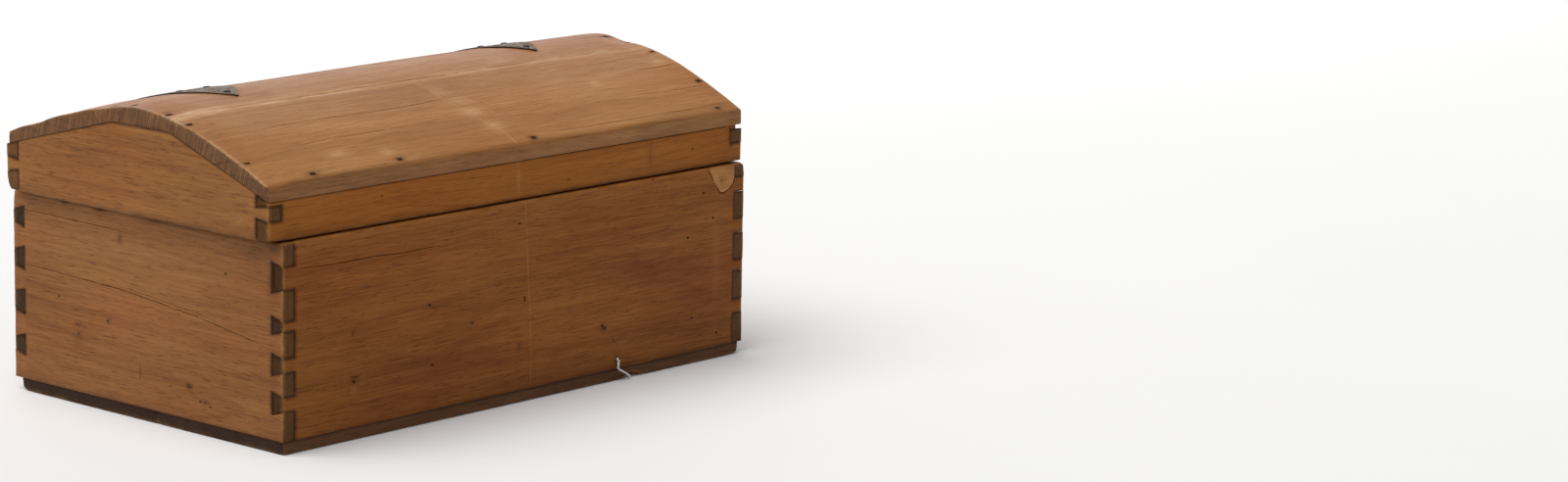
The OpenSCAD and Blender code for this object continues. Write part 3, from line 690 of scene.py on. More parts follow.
fb.score(on_front((-286.6, 164.6), (-242, 162.5), (-195, 162.9), (-161, 161.4), (-122, 161.6), (-96, 160.4)), OUT, half=0.4, depth=1.3, dark=0.95)
fb.score(on_front((-1.4, 188.3), (-1.0, 176), (1.2, 151), (3.4, 111), (5.6, 82), (7.2, 45), (6.8, 12)), OUT, half=0.75, depth=0.12, dark=0, light=0.8, taper=False)
fb.score(on_front((-48, 166), (-47.4, 152)), OUT, half=0.6, depth=0.05, dark=0, light=0.35)
fb.score(on_front((-72.6, 126), (-76, 110), (-79.7, 93)), OUT, half=0.6, depth=0.05, dark=0, light=0.42)
fb.score(on_front((-219.5, 94.5), (-215, 102.5)), OUT, half=0.6, depth=0.9, dark=1.0)
fb.score(on_front((-221, 58), (-214, 56.5), (-208, 58)), OUT, half=0.7, depth=0.9, dark=1.0)
fb.score(on_front((-168.6, 117), (-166.6, 124)), OUT, half=0.45, depth=0.5, dark=0.8)
fb.score(on_front((115.6, 43), (119.5, 38.5), (122.6, 34)), OUT, half=0.5, depth=1.0, dark=1.0)
fb.score(on_front((-9.9, 49), (-7.4, 57)), OUT, half=0.45, depth=0.7, dark=0.9)
fb.score(on_front((201, 39.6), (206, 40.4)), OUT, half=0.4, depth=0.4, dark=0.6)
fb.score(on_front((-281, 20.5), (-262, 20.8), (-236, 21.8)), OUT, half=0.35, depth=0.7, dark=0.75)
fb.score(on_front((-286, 91.7), (-240, 91.6), (-188, 90.3)), OUT, half=0.3, depth=0.15, dark=0.38)
PATCH = [(247, WZ1), (BX1 - END - 0.1, WZ1), (285.8, 175.2), (283, WZ1 - 19), (276, WZ1 - 24), (270, WZ1 - 26), (265, WZ1 - 25)]
fb.score(on_front((247.5, WZ1 + 0.5), (256.6, 176), (265.8, 162.9), (271.2, 161.7), (277.4, 163.6), (284.8, 168.8), (287.1, 175)), OUT, half=0.55, depth=1.5, dark=1.0, taper=False, reach=6)
for x, z, k in ((-10.5, 168.4, 0.8), (-122.3, 108.7, 0.8), (-70.7, 84.2, 0.7), (104, 54.4, 1.0), (106.5, 52.6, 1.0), (-122, 53, 0.8), (255.3, 140.5, 0.9), (221.5, 125.8, 0.9),
                (227.4, 45.3, 0.7), (264.2, 24.5, 1.0), (-1.9, 99, 0.8), (-0.6, 95, 0.8), (-216.9, 52, 0.9), (170.8, 186, 0.5), (242, 166, 0.8)):
    fb.pit((x, BY0, z), OUT, depth=0.8, dark=k)
fb.pit((123.5, BY0, 21.5), OUT, depth=6, dark=1.0, size=0.8)


def pins(table, at_x, amounts, y0, y1):
    """Each pin's end grain sits a little below the face."""
    tz = tail_z(table)
    gaps = [(tz[i][1], tz[i + 1][0]) for i in range(4)]

    def move(p):
        out = np.zeros((len(p), 3))
        sign = 1 if at_x < 0 else -1
        near = np.abs(p[:, 0] - at_x) < 0.05
        for (a, b), k in zip(gaps, amounts):
            sel = near & (p[:, 2] > a - 0.6) & (p[:, 2] < b + 0.6) & (p[:, 1] > y0) & (p[:, 1] < y1)
            out[sel, 0] += sign * k
        return out

    return move


def front_recess(p):
    return pins("FL", BX0, (0.5, 0.35, 0.6, 1.9), BY0 - 1, BY0 + 30)(p) + pins("FR", BX1, (0.4, 0.3, 0.5, 0.4), BY0 - 1, BY0 + 30)(p)


fb.make(lambda p, n, lay, mind: body_wear_and_shade(
    p, n, lay, mind, 1,
    dark_spots=[(104, 53.5, 4.5, 3.0, 0.75), (-217, 54, 5, 4, 0.55), (-217, 98, 3.5, 4, 0.4), (112, 38, 14, 4, 0.22), (-9, 53, 3, 5, 0.35),
                (123.5, 19, 3.5, 6, 0.7), (-295, 180, 6, 6, 0.5), (170, 40, 60, 10, 0.12), (-240, 120, 60, 20, 0.12)],
    light_spots=[(-217, 45.5, 3.2, 4.2, 0.5), (71, 88.5, 4, 2.5, 0.35), (88, 98, 4, 3, 0.35), (262, 100, 5, 45, 0.2), (-292, 183, 2.5, 2.5, 0.9)],
    face=lambda p: (p[:, 1] < BY0 + 1.0), inner_edge=(np.array([-BIG, -BIG, -BIG]), np.array([BIG, BY0 + SIDE, WZ1])), recess=front_recess),
    M_FRONT, "box", "wall_wood", ["front_board"])

bb = front_like("back_board_worn", BY1, BY1 - SIDE, ("BL", "BR"))
OB = (0, 1, 0)
bb.score([(-150, BY1, 70), (-60, BY1, 72), (40, BY1, 71), (120, BY1, 69)], OB, half=0.4, depth=1.0, dark=0.9)
bb.score([(180, BY1, 132), (240, BY1, 134), (299, BY1, 133)], OB, half=0.4, depth=1.0, dark=0.9)
for x, z in ((-220, 140), (-90, 35), (60, 120), (150, 50), (250, 100)):
    bb.pit((x, BY1, z), OB, depth=0.8, dark=0.9)
bb.make(lambda p, n, lay, mind: body_wear_and_shade(
    p, n, lay, mind, 2, dark_spots=[(HINGE_X[0], 158, 36, 36, 0.35), (HINGE_X[1], 158, 36, 36, 0.35), (60, 90, 8, 5, 0.35)], face=lambda p: p[:, 1] > BY1 - 1.0,
    inner_edge=(np.array([-BIG, BY1 - SIDE, -BIG]), np.array([BIG, BIG, WZ1])),
    recess=lambda p: pins("BL", BX0, (1.1, 0.8, 0.9, 1.2), BY1 - 30, BY1 + 1)(p) + pins("BR", BX1, (0.5, 0.4, 0.6, 0.5), BY1 - 30, BY1 + 1)(p)),
    M_BACK, "box", "wall_wood", ["back_board"])


def end_like(name, x_out, x_in, tables):
    front, back = (tail_z(k) for k in tables)
    zs = lines(WZ0, WZ1, 3.0, [v for ab in front + back for v in ab])
    ys = lines(BY0, BY1, 3.4, [BY0 + SIDE, BY1 - SIDE])
    xs = lines(min(x_out, x_in), max(x_out, x_in), 4.0, end_fine=(0.7, 2.0))

    def keep(x, y, z):
        k = np.ones(x.shape, bool)
        fz = np.zeros(x.shape, bool)
        for a, b in front:
            fz |= (z > a) & (z < b)
        bz = np.zeros(x.shape, bool)
        for a, b in back:
            bz |= (z > a) & (z < b)
        k &= ~((y < BY0 + SIDE) & ~fz)
        k &= ~((y > BY1 - SIDE) & ~bz)
        return k

    v, q = lattice(xs, ys, zs, keep)
    z = v[:, 2].copy()
    df, db = v[:, 1] - BY0, BY1 - v[:, 1]
    sf = np.where(df <= SIDE, df / SIDE, 1 - smooth((df - SIDE) / 34))
    sb = np.where(db <= SIDE, db / SIDE, 1 - smooth((db - SIDE) / 34))
    v[:, 2] = z + (taper(z, tables[0], sf) - z) + (taper(z, tables[1], sb) - z)
    return Board(name, v, q)


le = end_like("left_end_board_worn", BX0, BX0 + END, ("FL", "BL"))
OL = (-1, 0, 0)


def on_left(*yz):
    return [(BX0, y, z) for y, z in yz]


le.score(on_left((176.5, 119.9), (113.3, 118.7), (69.3, 117.1), (25.9, 115.5), (-32.7, 110.1), (-72, 106.4), (-121.1, 99.9), (-154.3, 94.6), (-179, 90.6)), OL,
         half=0.42, depth=1.6, dark=1.0)
le.score(on_left((47.5, 119.6), (9.8, 116.8), (-30.1, 113.4), (-64.2, 110.2), (-95.4, 106.8)), OL, half=0.3, depth=0.4, dark=0.6)
le.score(on_left((177, 171.9), (137, 171), (90, 170.3), (46.7, 170.1), (9, 169.1)), OL, half=0.35, depth=0.7, dark=0.7)
le.score(on_left((6.5, 51.5), (6.8, 44), (7.0, 36)), OL, half=0.55, depth=0.6, dark=0.85)
le.score(on_left((33.6, 168), (33.2, 158)), OL, half=0.5, depth=0.4, dark=0.7)
le.score(on_left((95, 74.8), (89.5, 74.2)), OL, half=0.6, depth=0.6, dark=0.95)
le.score(on_left((-56, 43.2), (-60, 41.2), (-64, 41.6)), OL, half=0.7, depth=0.7, dark=0.95)
le.score(on_left((147, 33.6), (141, 32.6)), OL, half=0.5, depth=0.4, dark=0.8)
for y, z, k in ((49.4, 83.9, 0.8), (-75, 30.2, 0.8), (-81, 30.8, 0.7), (-87, 28.6, 0.6), (92, 65, 0.7), (120, 96, 0.5), (-110, 150, 0.5)):
    le.pit((BX0, y, z), OL, depth=0.6, dark=k)


def end_chips(p):
    """Small bites out of the top edge."""
    out = np.zeros((len(p), 3))
    top = smooth((p[:, 2] - WZ1 + 5) / 5) * smooth((BX0 + 7 - p[:, 0]) / 6)
    for y, w, k in ((109, 5, 1.6), (60, 7, 1.4), (-15, 9, 0.8), (-96, 6, 1.0), (150, 8, 0.9)):
        out[:, 2] -= top * k * np.exp(-(((p[:, 1] - y) / w) ** 2))
    return out


# On the left end the dark spots along the top edge at z 187-188 are painted shadow under the lid's overhang and in the
# chips there, the wide dark spot at (0, 12) makes the face darker towards the bottom, and the wide light spot at (20,
# 160) is painted light on the upper face where the lid's overhang shades it.
le.make(lambda p, n, lay, mind: body_wear_and_shade(
    p, n, lay, mind, 3, cols=(1, 2), recess=end_chips,
    dark_spots=[(92.2, 62, 8, 8, 0.34), (-59.6, 41, 5, 4.5, 0.72), (-81.8, 30, 9, 4, 0.42), (6.7, 44, 3, 9, 0.25), (33.3, 163, 3.5, 6, 0.5), (109, 187, 5, 3, 0.9), (60, 187, 9, 4, 0.85),
                (-15, 188, 22, 5, 0.62), (-60, 188, 40, 4, 0.55), (-110, 188, 40, 4, 0.4), (49, 84, 3, 2.5, 0.5), (92, 74.5, 5, 2.2, 0.5), (-150, 175, 22, 12, 0.3), (-170, 150, 7, 16, 0.4),
                (-172, 60, 6, 40, 0.22), (0, 12, 260, 55, 0.15), (-172, 184, 12, 6, 0.6)],
    light_spots=[(172, 60, 4, 60, 0.25), (20, 160, 150, 26, 0.28)],
    face=lambda p: p[:, 0] < BX0 + 1.0, inner_edge=(np.array([-BIG, -BIG, -BIG]), np.array([BX0 + END, BIG, WZ1]))),
    M_LEND, "box", "end_wood", ["left_end_board"])

re_ = end_like("right_end_board_worn", BX1, BX1 - END, ("FR", "BR"))
OR = (1, 0, 0)
re_.score([(BX1, -150, 60), (BX1, -40, 66), (BX1, 60, 62), (BX1, 150, 68)], OR, half=0.42, depth=1.4, dark=0.95)
re_.score([(BX1, 20, 150), (BX1, 100, 152), (BX1, 170, 149)], OR, half=0.35, depth=0.7, dark=0.8)
for y, z in ((-90, 120), (30, 95), (110, 40)):
    re_.pit((BX1, y, z), OR, depth=0.7, dark=0.8)
re_.make(lambda p, n, lay, mind: body_wear_and_shade(
    p, n, lay, mind, 4, cols=(1, 2), dark_spots=[(-20, 100, 9, 6, 0.35), (80, 45, 6, 5, 0.5)], face=lambda p: p[:, 0] > BX1 - 1.0,
    inner_edge=(np.array([BX1 - END, -BIG, -BIG]), np.array([BIG, BIG, WZ1]))),
    M_REND, "box", "end_wood", ["right_end_board"])

# ------------------------------------------------------------------ bottom boards

FLOOR_NAILS = [(-262, BY0 + 7.5, 0), (-130, BY0 + 7.5, 0), (5, BY0 + 7.5, 0), (170, BY0 + 7.5, 0), (255, BY0 + 7.5, 0),
               (-255, BY1 - 11.2, 0), (-90, BY1 - 11.2, 0), (80, BY1 - 11.2, 0), (250, BY1 - 11.2, 0),
               (BX0 + 7, -95, 1), (BX0 + 7, 60, 1), (BX1 - 7, -90, 1), (BX1 - 7, 65, 1)]
NW, ND = 6.5 / 2, 3.6 / 2


def bottom(name, lo, hi, seed, notch, node, rad_corners):
    mine = [(x, y, t) for x, y, t in FLOOR_NAILS if lo[1] < y < hi[1]]
    half = [(ND, NW) if t else (NW, ND) for _, _, t in mine]
    xm = [v for (x, _, _), (a, _) in zip(mine, half) for v in (x - a, x + a)]
    ym = [v for (_, y, _), (_, b) in zip(mine, half) for v in (y - b, y + b)]
    if notch:
        xm += [134, 138, 143, 150, 154, 159]
        ym += [lo[1] + 9]
    xs = lines(lo[0], hi[0], 5.0, xm, fine=(1.0,))
    ys = lines(lo[1], hi[1], 5.0, ym, fine=(1.0,))
    zs = lines(lo[2], hi[2], 3.2, [1.9], fine=(), end_fine=(0.7,))

    def keep(x, y, z):
        k = np.ones(x.shape, bool)
        for (nx, ny, _), (a, b) in zip(mine, half):
            k &= ~((np.abs(x - nx) < a) & (np.abs(y - ny) < b) & (z < 1.9))
        return k

    v, q = lattice(xs, ys, zs, keep)
    bd = Board(name, v, q)

    def worn(p, n, lay, mind):
        r = 1.1 + 0.5 * noise(p, (50, 50, 30), seed) + 0.4 * noise(p, 8, seed + 4)
        topedge = smooth((p[:, 2] - hi[2] + 2.5) / 2.5)
        r = r * (1 - topedge) + 0.45 * topedge
        for cx, cy, k in rad_corners:
            r = r + k * np.exp(-(((p[:, 0] - cx) / 10) ** 2 + ((p[:, 1] - cy) / 10) ** 2)) * (1 - 0.55 * topedge)
        q = rounded(p, lo, hi, np.clip(r, 0.3, 5.3))
        ed = edge_distance(p, lo, hi)
        low = 1 - smooth((p[:, 2] - 1.0) / 5)
        front = np.exp(-((p[:, 1] - lo[1]) / 3.0) ** 2)
        # splinters and rubbed places along the lower edges
        bite = np.maximum(0, noise(p, (30, 30, 30), seed + 9) - 0.15) * 1.9 + np.maximum(0, noise(p, (7, 7, 7), seed + 10) - 0.3) * 1.0
        q[:, 2] += bite * low * np.exp(-((ed / 2.5) ** 2))
        if notch:
            prof = np.interp(p[:, 0], [134, 136, 143, 150, 154, 159], [0.0, 4.2, 4.8, 4.0, 2.2, 0.0])
            inside = smooth((lo[1] + 9.5 - p[:, 1]) / 1.5)
            q[:, 2] += prof * inside * np.clip((hi[2] - p[:, 2]) / (hi[2] - lo[2]), 0, 1) * (0.85 + 0.15 * front)
        joint = (mind < 0.93) & (np.linalg.norm(q - p, axis=1) < 0.05)
        q -= n * np.where(joint, 0.2, 0)[:, None]
        q += n * (0.22 * noise(p, (120, 60, 40), seed + 21, 1) + 0.08 * noise(p, (30, 8, 8), seed + 22))[:, None] * (mind > 0.93)[:, None]
        q[:, 2] = np.maximum(q[:, 2], 0.0)
        wear_and_painted_light = np.exp(-((ed / 1.8) ** 2)) * low * (0.3 + 0.5 * noise(p, 20, seed + 31))
        grime_and_shade = 0.35 + 0.25 * noise(p, (70, 30, 20), seed + 13)
        grime_and_shade = np.where(n[:, 2] < -0.5, grime_and_shade * 0.6, grime_and_shade)
        grime_and_shade = np.where((n[:, 2] > 0.5), 0.12, grime_and_shade)
        grime_and_shade = np.maximum(grime_and_shade, 0.85 * topedge * (n[:, 2] < 0.9))
        grime_and_shade = np.maximum(grime_and_shade, np.where(joint, 0.9, 0))
        if notch:
            cut = (p[:, 0] > 133) & (p[:, 0] < 160) & (p[:, 1] < lo[1] + 9.6) & (p[:, 2] < 0.8)
            grime_and_shade = np.where(cut, 0.1, grime_and_shade)
            wear_and_painted_light = np.where(cut, 0.75, wear_and_painted_light)
        return q, wear_and_painted_light, grime_and_shade, np.zeros(len(p))

    return bd, worn


bd, worn = bottom("bottom_board_front_worn", BF[0], BF[1], 5, True, "bottom_board_front",
                  [(BF[0][0], BF[0][1], 1.0), (BF[1][0], BF[0][1], 3.6)])
bd.score([(BF[0][0] + 1, BF[0][1], 6.4), (-200, BF[0][1], 6.0), (-120, BF[0][1], 6.6)], (0, -1, 0), half=0.4, depth=0.6, dark=0.8, reach=6)
bd.make(worn, M_BOT, "box", "bottom_wood", ["bottom_board_front"])
bd, worn = bottom("bottom_board_back_worn", BK[0], BK[1], 6, False, "bottom_board_back",
                  [(BK[0][0], BK[1][1], 3.8), (BK[1][0], BK[1][1], 3.0)])
bd.make(worn, M_BOT, "box", "bottom_wood", ["bottom_board_back"])

# ------------------------------------------------------------------ corner patch


def patch_piece():
    """A let-in patch with a small round nail hole, a little proud and softly rounded at its front edge."""
    bm = bmesh.new()
    y = BY0 - 0.12
    ring = [(251.2, WZ1 - 0.2), (259, WZ1 - 0.2), (267, WZ1 - 0.2), (276, WZ1 - 0.2), (286.7, WZ1 - 0.3), (286.6, 181), (286.4, 175.4), (284.2, 169.6), (280.7, 166.6), (277.2, 164.5), (271.4, 162.6),
            (266.4, 163.6), (262.2, 168.4), (258.6, 173.2), (255.2, 178.6), (252.2, 183.4), (249.4, 187.2)]
    hole = [(268 + 1.25 * math.cos(a), 175 + 1.25 * math.sin(a)) for a in np.linspace(0, 2 * math.pi, 13)[:-1]]
    for loop in (ring, hole):
        vs = [bm.verts.new((x, y, z)) for x, z in loop]
        for a, b in zip(vs, vs[1:] + vs[:1]):
            bm.edges.new((a, b))
    bmesh.ops.triangle_fill(bm, edges=bm.edges[:], use_beauty=True)
    ret = bmesh.ops.extrude_face_region(bm, geom=bm.faces[:])
    for v in [e for e in ret["geom"] if isinstance(e, bmesh.types.BMVert)]:
        v.co.y += 4.8
    bmesh.ops.recalc_face_normals(bm, faces=bm.faces)
    rim = [e for e in bm.edges if all(v.co.y < y + 0.01 for v in e.verts) and len(e.link_faces) == 2
           and abs(e.link_faces[0].normal.dot(e.link_faces[1].normal)) < 0.5]
    bmesh.ops.bevel(bm, geom=rim, offset=0.35, segments=2, profile=0.5, affect="EDGES")
    bmesh.ops.subdivide_edges(bm, edges=[e for e in bm.edges if e.calc_length() > 6], cuts=1)
    bmesh.ops.triangulate(bm, faces=[g for g in bm.faces if len(g.verts) > 4])
    me = bpy.data.meshes.new("corner_patch_worn")
    bm.to_mesh(me)
    bm.free()
    p = np.array([v.co for v in me.vertices], float)
    front = smooth((BY0 + 1.2 - p[:, 1]) / 1.2)
    p[:, 1] += front * (0.18 * noise(p, (14, 14, 9), 77) + 0.10)
    me.vertices.foreach_set("co", (p * 0.001).astype(np.float32).ravel())
    away = np.hypot(p[:, 0] - 268, p[:, 2] - 175)
    # painted shade: the patch's buried sides and the wall of its nail hole are darkened as the shade inside the recess
    # and the hole
    hole_shade_and_grime = np.where(p[:, 1] > BY0 + 0.6, 0.95, 0.30 * np.exp(-(((p[:, 0] - 283) / 8) ** 2 + ((p[:, 2] - 186) / 7) ** 2)))
    hole_shade_and_grime = np.where(away < 1.7, np.where(p[:, 1] > BY0 + 0.5, 0.9, 0.45), hole_shade_and_grime)
    for key, val in (("wear_and_painted_light", 0.2 * front), ("grime_and_shade", hole_shade_and_grime), ("bleach", np.zeros(len(p)))):
        at = me.attributes.new(key, "FLOAT", "POINT")
        at.data.foreach_set("value", np.clip(val, 0, 1).astype(np.float32))
    me.shade_smooth()
    me.set_sharp_from_angle(angle=math.radians(40))
    me.materials.append(M_PATCH)
    ob = bpy.data.objects.new("corner_patch_worn", me)
    bpy.context.scene.collection.objects.link(ob)
    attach(ob, "box")
    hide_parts("corner_patch")


patch_piece()

# ------------------------------------------------------------------ lid boards


def lid_radius(p, seed, base=1.0):
    r = base + 0.45 * base * noise(p, (60, 60, 26), seed) + 0.3 * base * noise(p, 9, seed + 5)
    return np.clip(r, 0.3, 4.0)


def lid_wear_and_shade(p, n, lay, mind, seed, lo, hi, dark_spots=(), light_spots=(), cols=(0, 2), face=None, base=1.0, near_corner=0.0):
    r = lid_radius(p, seed, base)
    r = r + near_corner * np.exp(-(((p[:, 0] - LX0) / 16) ** 2 + ((p[:, 1] - LY0) / 16) ** 2)) * smooth((LZ + 10 - p[:, 2]) / 8)
    r = r + 4.2 * np.exp(-(((p[:, 0] - LX0) / 16) ** 2 + ((p[:, 1] - LY1) / 18) ** 2)) * smooth((LZ + 14 - p[:, 2]) / 12)
    q = rounded(p, lo, hi, r)
    ed = edge_distance(p, lo, hi)
    outer = np.linalg.norm(q - p, axis=1) > 0.05
    joint = (mind < 0.93) & ~outer
    q = q - n * np.where(joint, 0.30 + 0.10 * noise(p, 7, seed + 11), 0)[:, None]
    q = q + n * (0.22 * noise(p, (150, 150, 60), seed + 21, 1) + 0.09 * noise(p, (40, 40, 9), seed + 22))[:, None] * (mind > 0.93)[:, None]
    q = q - n * (0.5 * np.maximum(0, noise(p, (34, 34, 16), seed + 40)) * np.exp(-((ed / 5) ** 2)))[:, None]
    q = q - n * lay[:, 0:1]
    wear_and_painted_light = np.exp(-((ed / 1.8) ** 2)) * (0.32 + 0.5 * noise(p, (26, 26, 12), seed + 31))
    grime_and_shade = np.where(joint, 0.9, 0.0)
    # painted shadow: a dark band along the lid's lower edge, the shade of the gap between lid and body
    grime_and_shade = np.maximum(grime_and_shade, 0.7 * np.exp(-np.maximum(0, p[:, 2] - LZ) / 2.2))
    if face is not None:
        on = face(p)
        grime_and_shade = np.maximum(grime_and_shade, spots(p, dark_spots, cols) * on)
        wear_and_painted_light = np.maximum(wear_and_painted_light, spots(p, light_spots, cols) * on)
    grime_and_shade = np.maximum(grime_and_shade, lay[:, 1])
    wear_and_painted_light = np.maximum(wear_and_painted_light * (1 - lay[:, 1]), lay[:, 2])
    return q, wear_and_painted_light, grime_and_shade, np.zeros(len(p))


LLO, LHI = np.array([LX0, LY0, LZ]), np.array([LX1, LY1, BIG])


def rail(name, y_out, y_in, nominal_top, back):
    xm = [LX0 + GAB, LX1 - GAB]
    zm = [LTAIL[0], LTAIL[1]]
    if not back:
        xm.append(LX1 - 8.5)
    xs = lines(LX0, LX1, 3.8, xm)
    ys = lines(min(y_out, y_in), max(y_out, y_in), 4.0, end_fine=(0.7, 2.0))
    zs = lines(0, nominal_top, 2.8, zm, fine=(0.7,), end_fine=(0.6, 1.5))

    def keep(x, y, z):
        k = ~(((x < LX0 + GAB) | (x > LX1 - GAB)) & (z > LTAIL[0]) & (z < LTAIL[1]))
        if not back:
            k &= ~((x > LX1 - 8.5) & (z > LTAIL[1]))
        return k

    v, q = lattice(xs, ys, zs, keep)
    z = v[:, 2].copy()
    s = v[:, 1] - LY0
    top = under(s) - 0.1
    share = np.abs(v[:, 1] - y_out) / RAIL
    ends = np.maximum(1 - smooth((v[:, 0] - LX0 - GAB) / 20), 1 - smooth((LX1 - GAB - v[:, 0]) / 20))
    shift = np.interp(z, [0, LTAIL[0], LTAIL[1], nominal_top], [0, LFLARE, -LFLARE, 0]) * share * ends
    up = np.where(z > LTAIL[1], LTAIL[1] + (z - LTAIL[1]) * (top - LTAIL[1]) / (nominal_top - LTAIL[1]), z)
    v[:, 2] = LZ + up + shift
    return Board(name, v, q)


fr = rail("lid_front_rail_worn", LY0, LY0 + RAIL, 36.0, False)


def on_rail(*xz):
    return [(x, LY0, z) for x, z in xz]


fr.score(on_rail((-7.2, 225.6), (-6.6, 214), (-6.0, 203), (-6.2, 190.6)), OUT, half=0.75, depth=0.1, dark=0, light=0.75, taper=False)
fr.score(on_rail((122.6, 212), (122.4, 200)), OUT, half=0.6, depth=0.05, dark=0, light=0.35)
fr.score(on_rail((170.6, 224), (171, 210), (171.2, 198)), OUT, half=0.55, depth=0.25, dark=0.5)
fr.score(on_rail((-61, 211.2), (-50, 211.6)), OUT, half=0.4, depth=0.4, dark=0.6)
fr.score(on_rail((283.4, 222), (285.6, 217), (284.4, 212), (286.4, 207.4)), OUT, half=0.8, depth=2.6, dark=1.0, taper=False)
for x, z in ((-180, 214), (60, 200), (230, 209)):
    fr.pit((x, LY0, z), OUT, depth=0.4, dark=0.6)
fr.make(lambda p, n, lay, mind: lid_wear_and_shade(
    p, n, lay, mind, 11, LLO, LHI, base=0.9, near_corner=3.0, face=lambda p: p[:, 1] < LY0 + 1,
    dark_spots=[(-290, 196, 18, 6, 0.3), (170.8, 210, 4, 12, 0.25), (284.8, 214, 3, 9, 0.9), (280, 198, 16, 8, 0.25)],
    light_spots=[(-7, 208, 2.5, 18, 0.3), (-240, 226, 40, 2.0, 0.2)]),
    M_RAILF, "lid", "rail_wood", ["lid_front_rail"])

br = rail("lid_back_rail_worn", LY1, LY1 - RAIL, 43.0, True)
br.score([(-120, LY1, 212), (-40, LY1, 213), (60, LY1, 211)], OB, half=0.35, depth=0.7, dark=0.8)
br.make(lambda p, n, lay, mind: lid_wear_and_shade(p, n, lay, mind, 12, LLO, LHI, base=0.9), M_RAILB, "lid", "rail_wood", ["lid_back_rail"])


def gable(name, x_out, x_in, seed):
    ys = lines(0, DEP, 3.4, [RAIL, DEP - RAIL, S0, BEND])
    zs = lines(0, CREST, 3.2, [LTAIL[0], LTAIL[1]], fine=(0.7,), end_fine=(0.6, 1.6))
    xs = lines(min(x_out, x_in), max(x_out, x_in), 4.0, end_fine=(0.7, 2.0))

    def keep(x, s, z):
        tail = (z > LTAIL[0]) & (z < LTAIL[1])
        return ((s > RAIL) & (s < DEP - RAIL)) | tail

    v, q = lattice(xs, ys, zs, keep)
    s, z = v[:, 1].copy(), v[:, 2].copy()
    top = under(s) - 0.1
    up = np.where(z > LTAIL[1], LTAIL[1] + (z - LTAIL[1]) * (top - LTAIL[1]) / (CREST - LTAIL[1]), z)
    d = np.minimum(s, DEP - s)
    share = np.where(d <= RAIL, d / RAIL, 1 - smooth((d - RAIL) / 30))
    shift = np.interp(z, [0, LTAIL[0], LTAIL[1], CREST], [0, LFLARE, -LFLARE, 0]) * share
    v[:, 1] = LY0 + s
    v[:, 2] = LZ + up + shift
    return Board(name, v, q)


lg = gable("lid_left_gable_worn", LX0, LX0 + GAB, 13)


def on_gable(*yz):
    return [(LX0, y, z) for y, z in yz]


lg.score(on_gable((-31, 254), (-31, 251)), OL, half=0.5, depth=0.5, dark=0.8)
lg.score(on_gable((64.9, 261.2), (65.2, 258.8)), OL, half=0.5, depth=0.6, dark=0.9)
lg.score(on_gable((-138, 208.5), (-146, 206), (-150, 205.2)), OL, half=0.6, depth=0.1, dark=0, light=0.5)
lg.score(on_gable((-132, 204), (-141, 203.4)), OL, half=0.5, depth=0.1, dark=0, light=0.4)
lg.score(on_gable((150, 197), (110, 197.6), (70, 197.2)), OL, half=0.3, depth=0.25, dark=0.4)
# the two long dark spots at z 191 are painted shadow along the gable's lower edge, over the gap between lid and body
lg.make(lambda p, n, lay, mind: lid_wear_and_shade(
    p, n, lay, mind, 13, LLO, LHI, cols=(1, 2), base=0.8, near_corner=2.0, face=lambda p: p[:, 0] < LX0 + 1,
    dark_spots=[(-20, 191, 70, 4, 0.35), (-110, 191, 50, 5, 0.42), (60, 235, 30, 12, 0.14), (-80, 240, 40, 10, 0.12), (-112, 215, 62, 45, 0.17)],
    light_spots=[(-142, 206, 7, 3.5, 0.3)]),
    M_GAB, "lid", "gable_wood", ["lid_left_gable"])
rg = gable("lid_right_gable_worn", LX1, LX1 - GAB, 14)
rg.score([(LX1, -120, 206), (LX1, -30, 209), (LX1, 70, 207)], OR, half=0.4, depth=1.0, dark=0.9)
rg.make(lambda p, n, lay, mind: lid_wear_and_shade(p, n, lay, mind, 14, LLO, LHI, cols=(1, 2), base=0.8), M_GAB, "lid", "gable_wood", ["lid_right_gable"])

# ------------------------------------------------------------------ top boards

FRONT_NAILS = [(-256.5, 6.5), (-151, 7), (19, 7), (272, 6.5), (LX0 + 7, 110), (LX0 + 8, 36), (LX1 - 8, 112), (LX1 - 8, 50)]
CREST_NAILS = [(LX0 + 7, 137), (LX0 + 8, 184), (LX1 - 8, 145), (LX1 - 12, 171.6)]
BACK_NAILS = [(LX0 + 8, 212), (LX0 + 8, 305), (LX1 - 8, 214), (LX1 - 8, 300), (-275, DEP - 10), (-80, DEP - 10), (75, DEP - 10), (240, DEP - 10)]
STRAP_NAILS = [(0, TIP_S + 14), (-16, 212), (16, 212), (0, 262), (-16, 312), (16, 312)]
TN = 12.0


def droop(x, s):
    """How far the ends of the top boards are worn down."""
    s = np.asarray(s, float)
    left = smooth((LX0 + 46 - x) / 46) ** 1.3
    right = smooth((x - LX1 + 40) / 40) ** 1.3
    front = np.exp(-((s / 60) ** 2))
    inner = smooth((-165 - x) / 140) * (1.0 + 0.8 * np.exp(-(((s - 235) / 40) ** 2))) * smooth((s - 120) / 50) * smooth((300 - s) / 40)
    return ((2.5 + 1.2 * np.exp(-(((s - 215) / 26) ** 2))) * left + inner
            + (0.2 + 0.4 * front + 3.4 * np.exp(-(((s - 157) / 20) ** 2)) - 1.7 * np.exp(-(((s - 88) / 34) ** 2))) * right)


def bow(x, s):
    """The crest stands prouder towards the middle and right, and the back eave lifts at the left end."""
    crest = 3.0 * smooth((x + 205) / 330) * np.exp(-(((s - PEAK) / 70) ** 2))
    return crest + 6.4 * smooth((s - 303) / 46) * smooth((-90 - x) / 150)


def rubbed(x, s):
    """The nails whose heads are worn bright to the brown of the wood."""
    return (x > 260 and (s < 20 or 100 < s < 160)) or (x < -290 and s < 60)


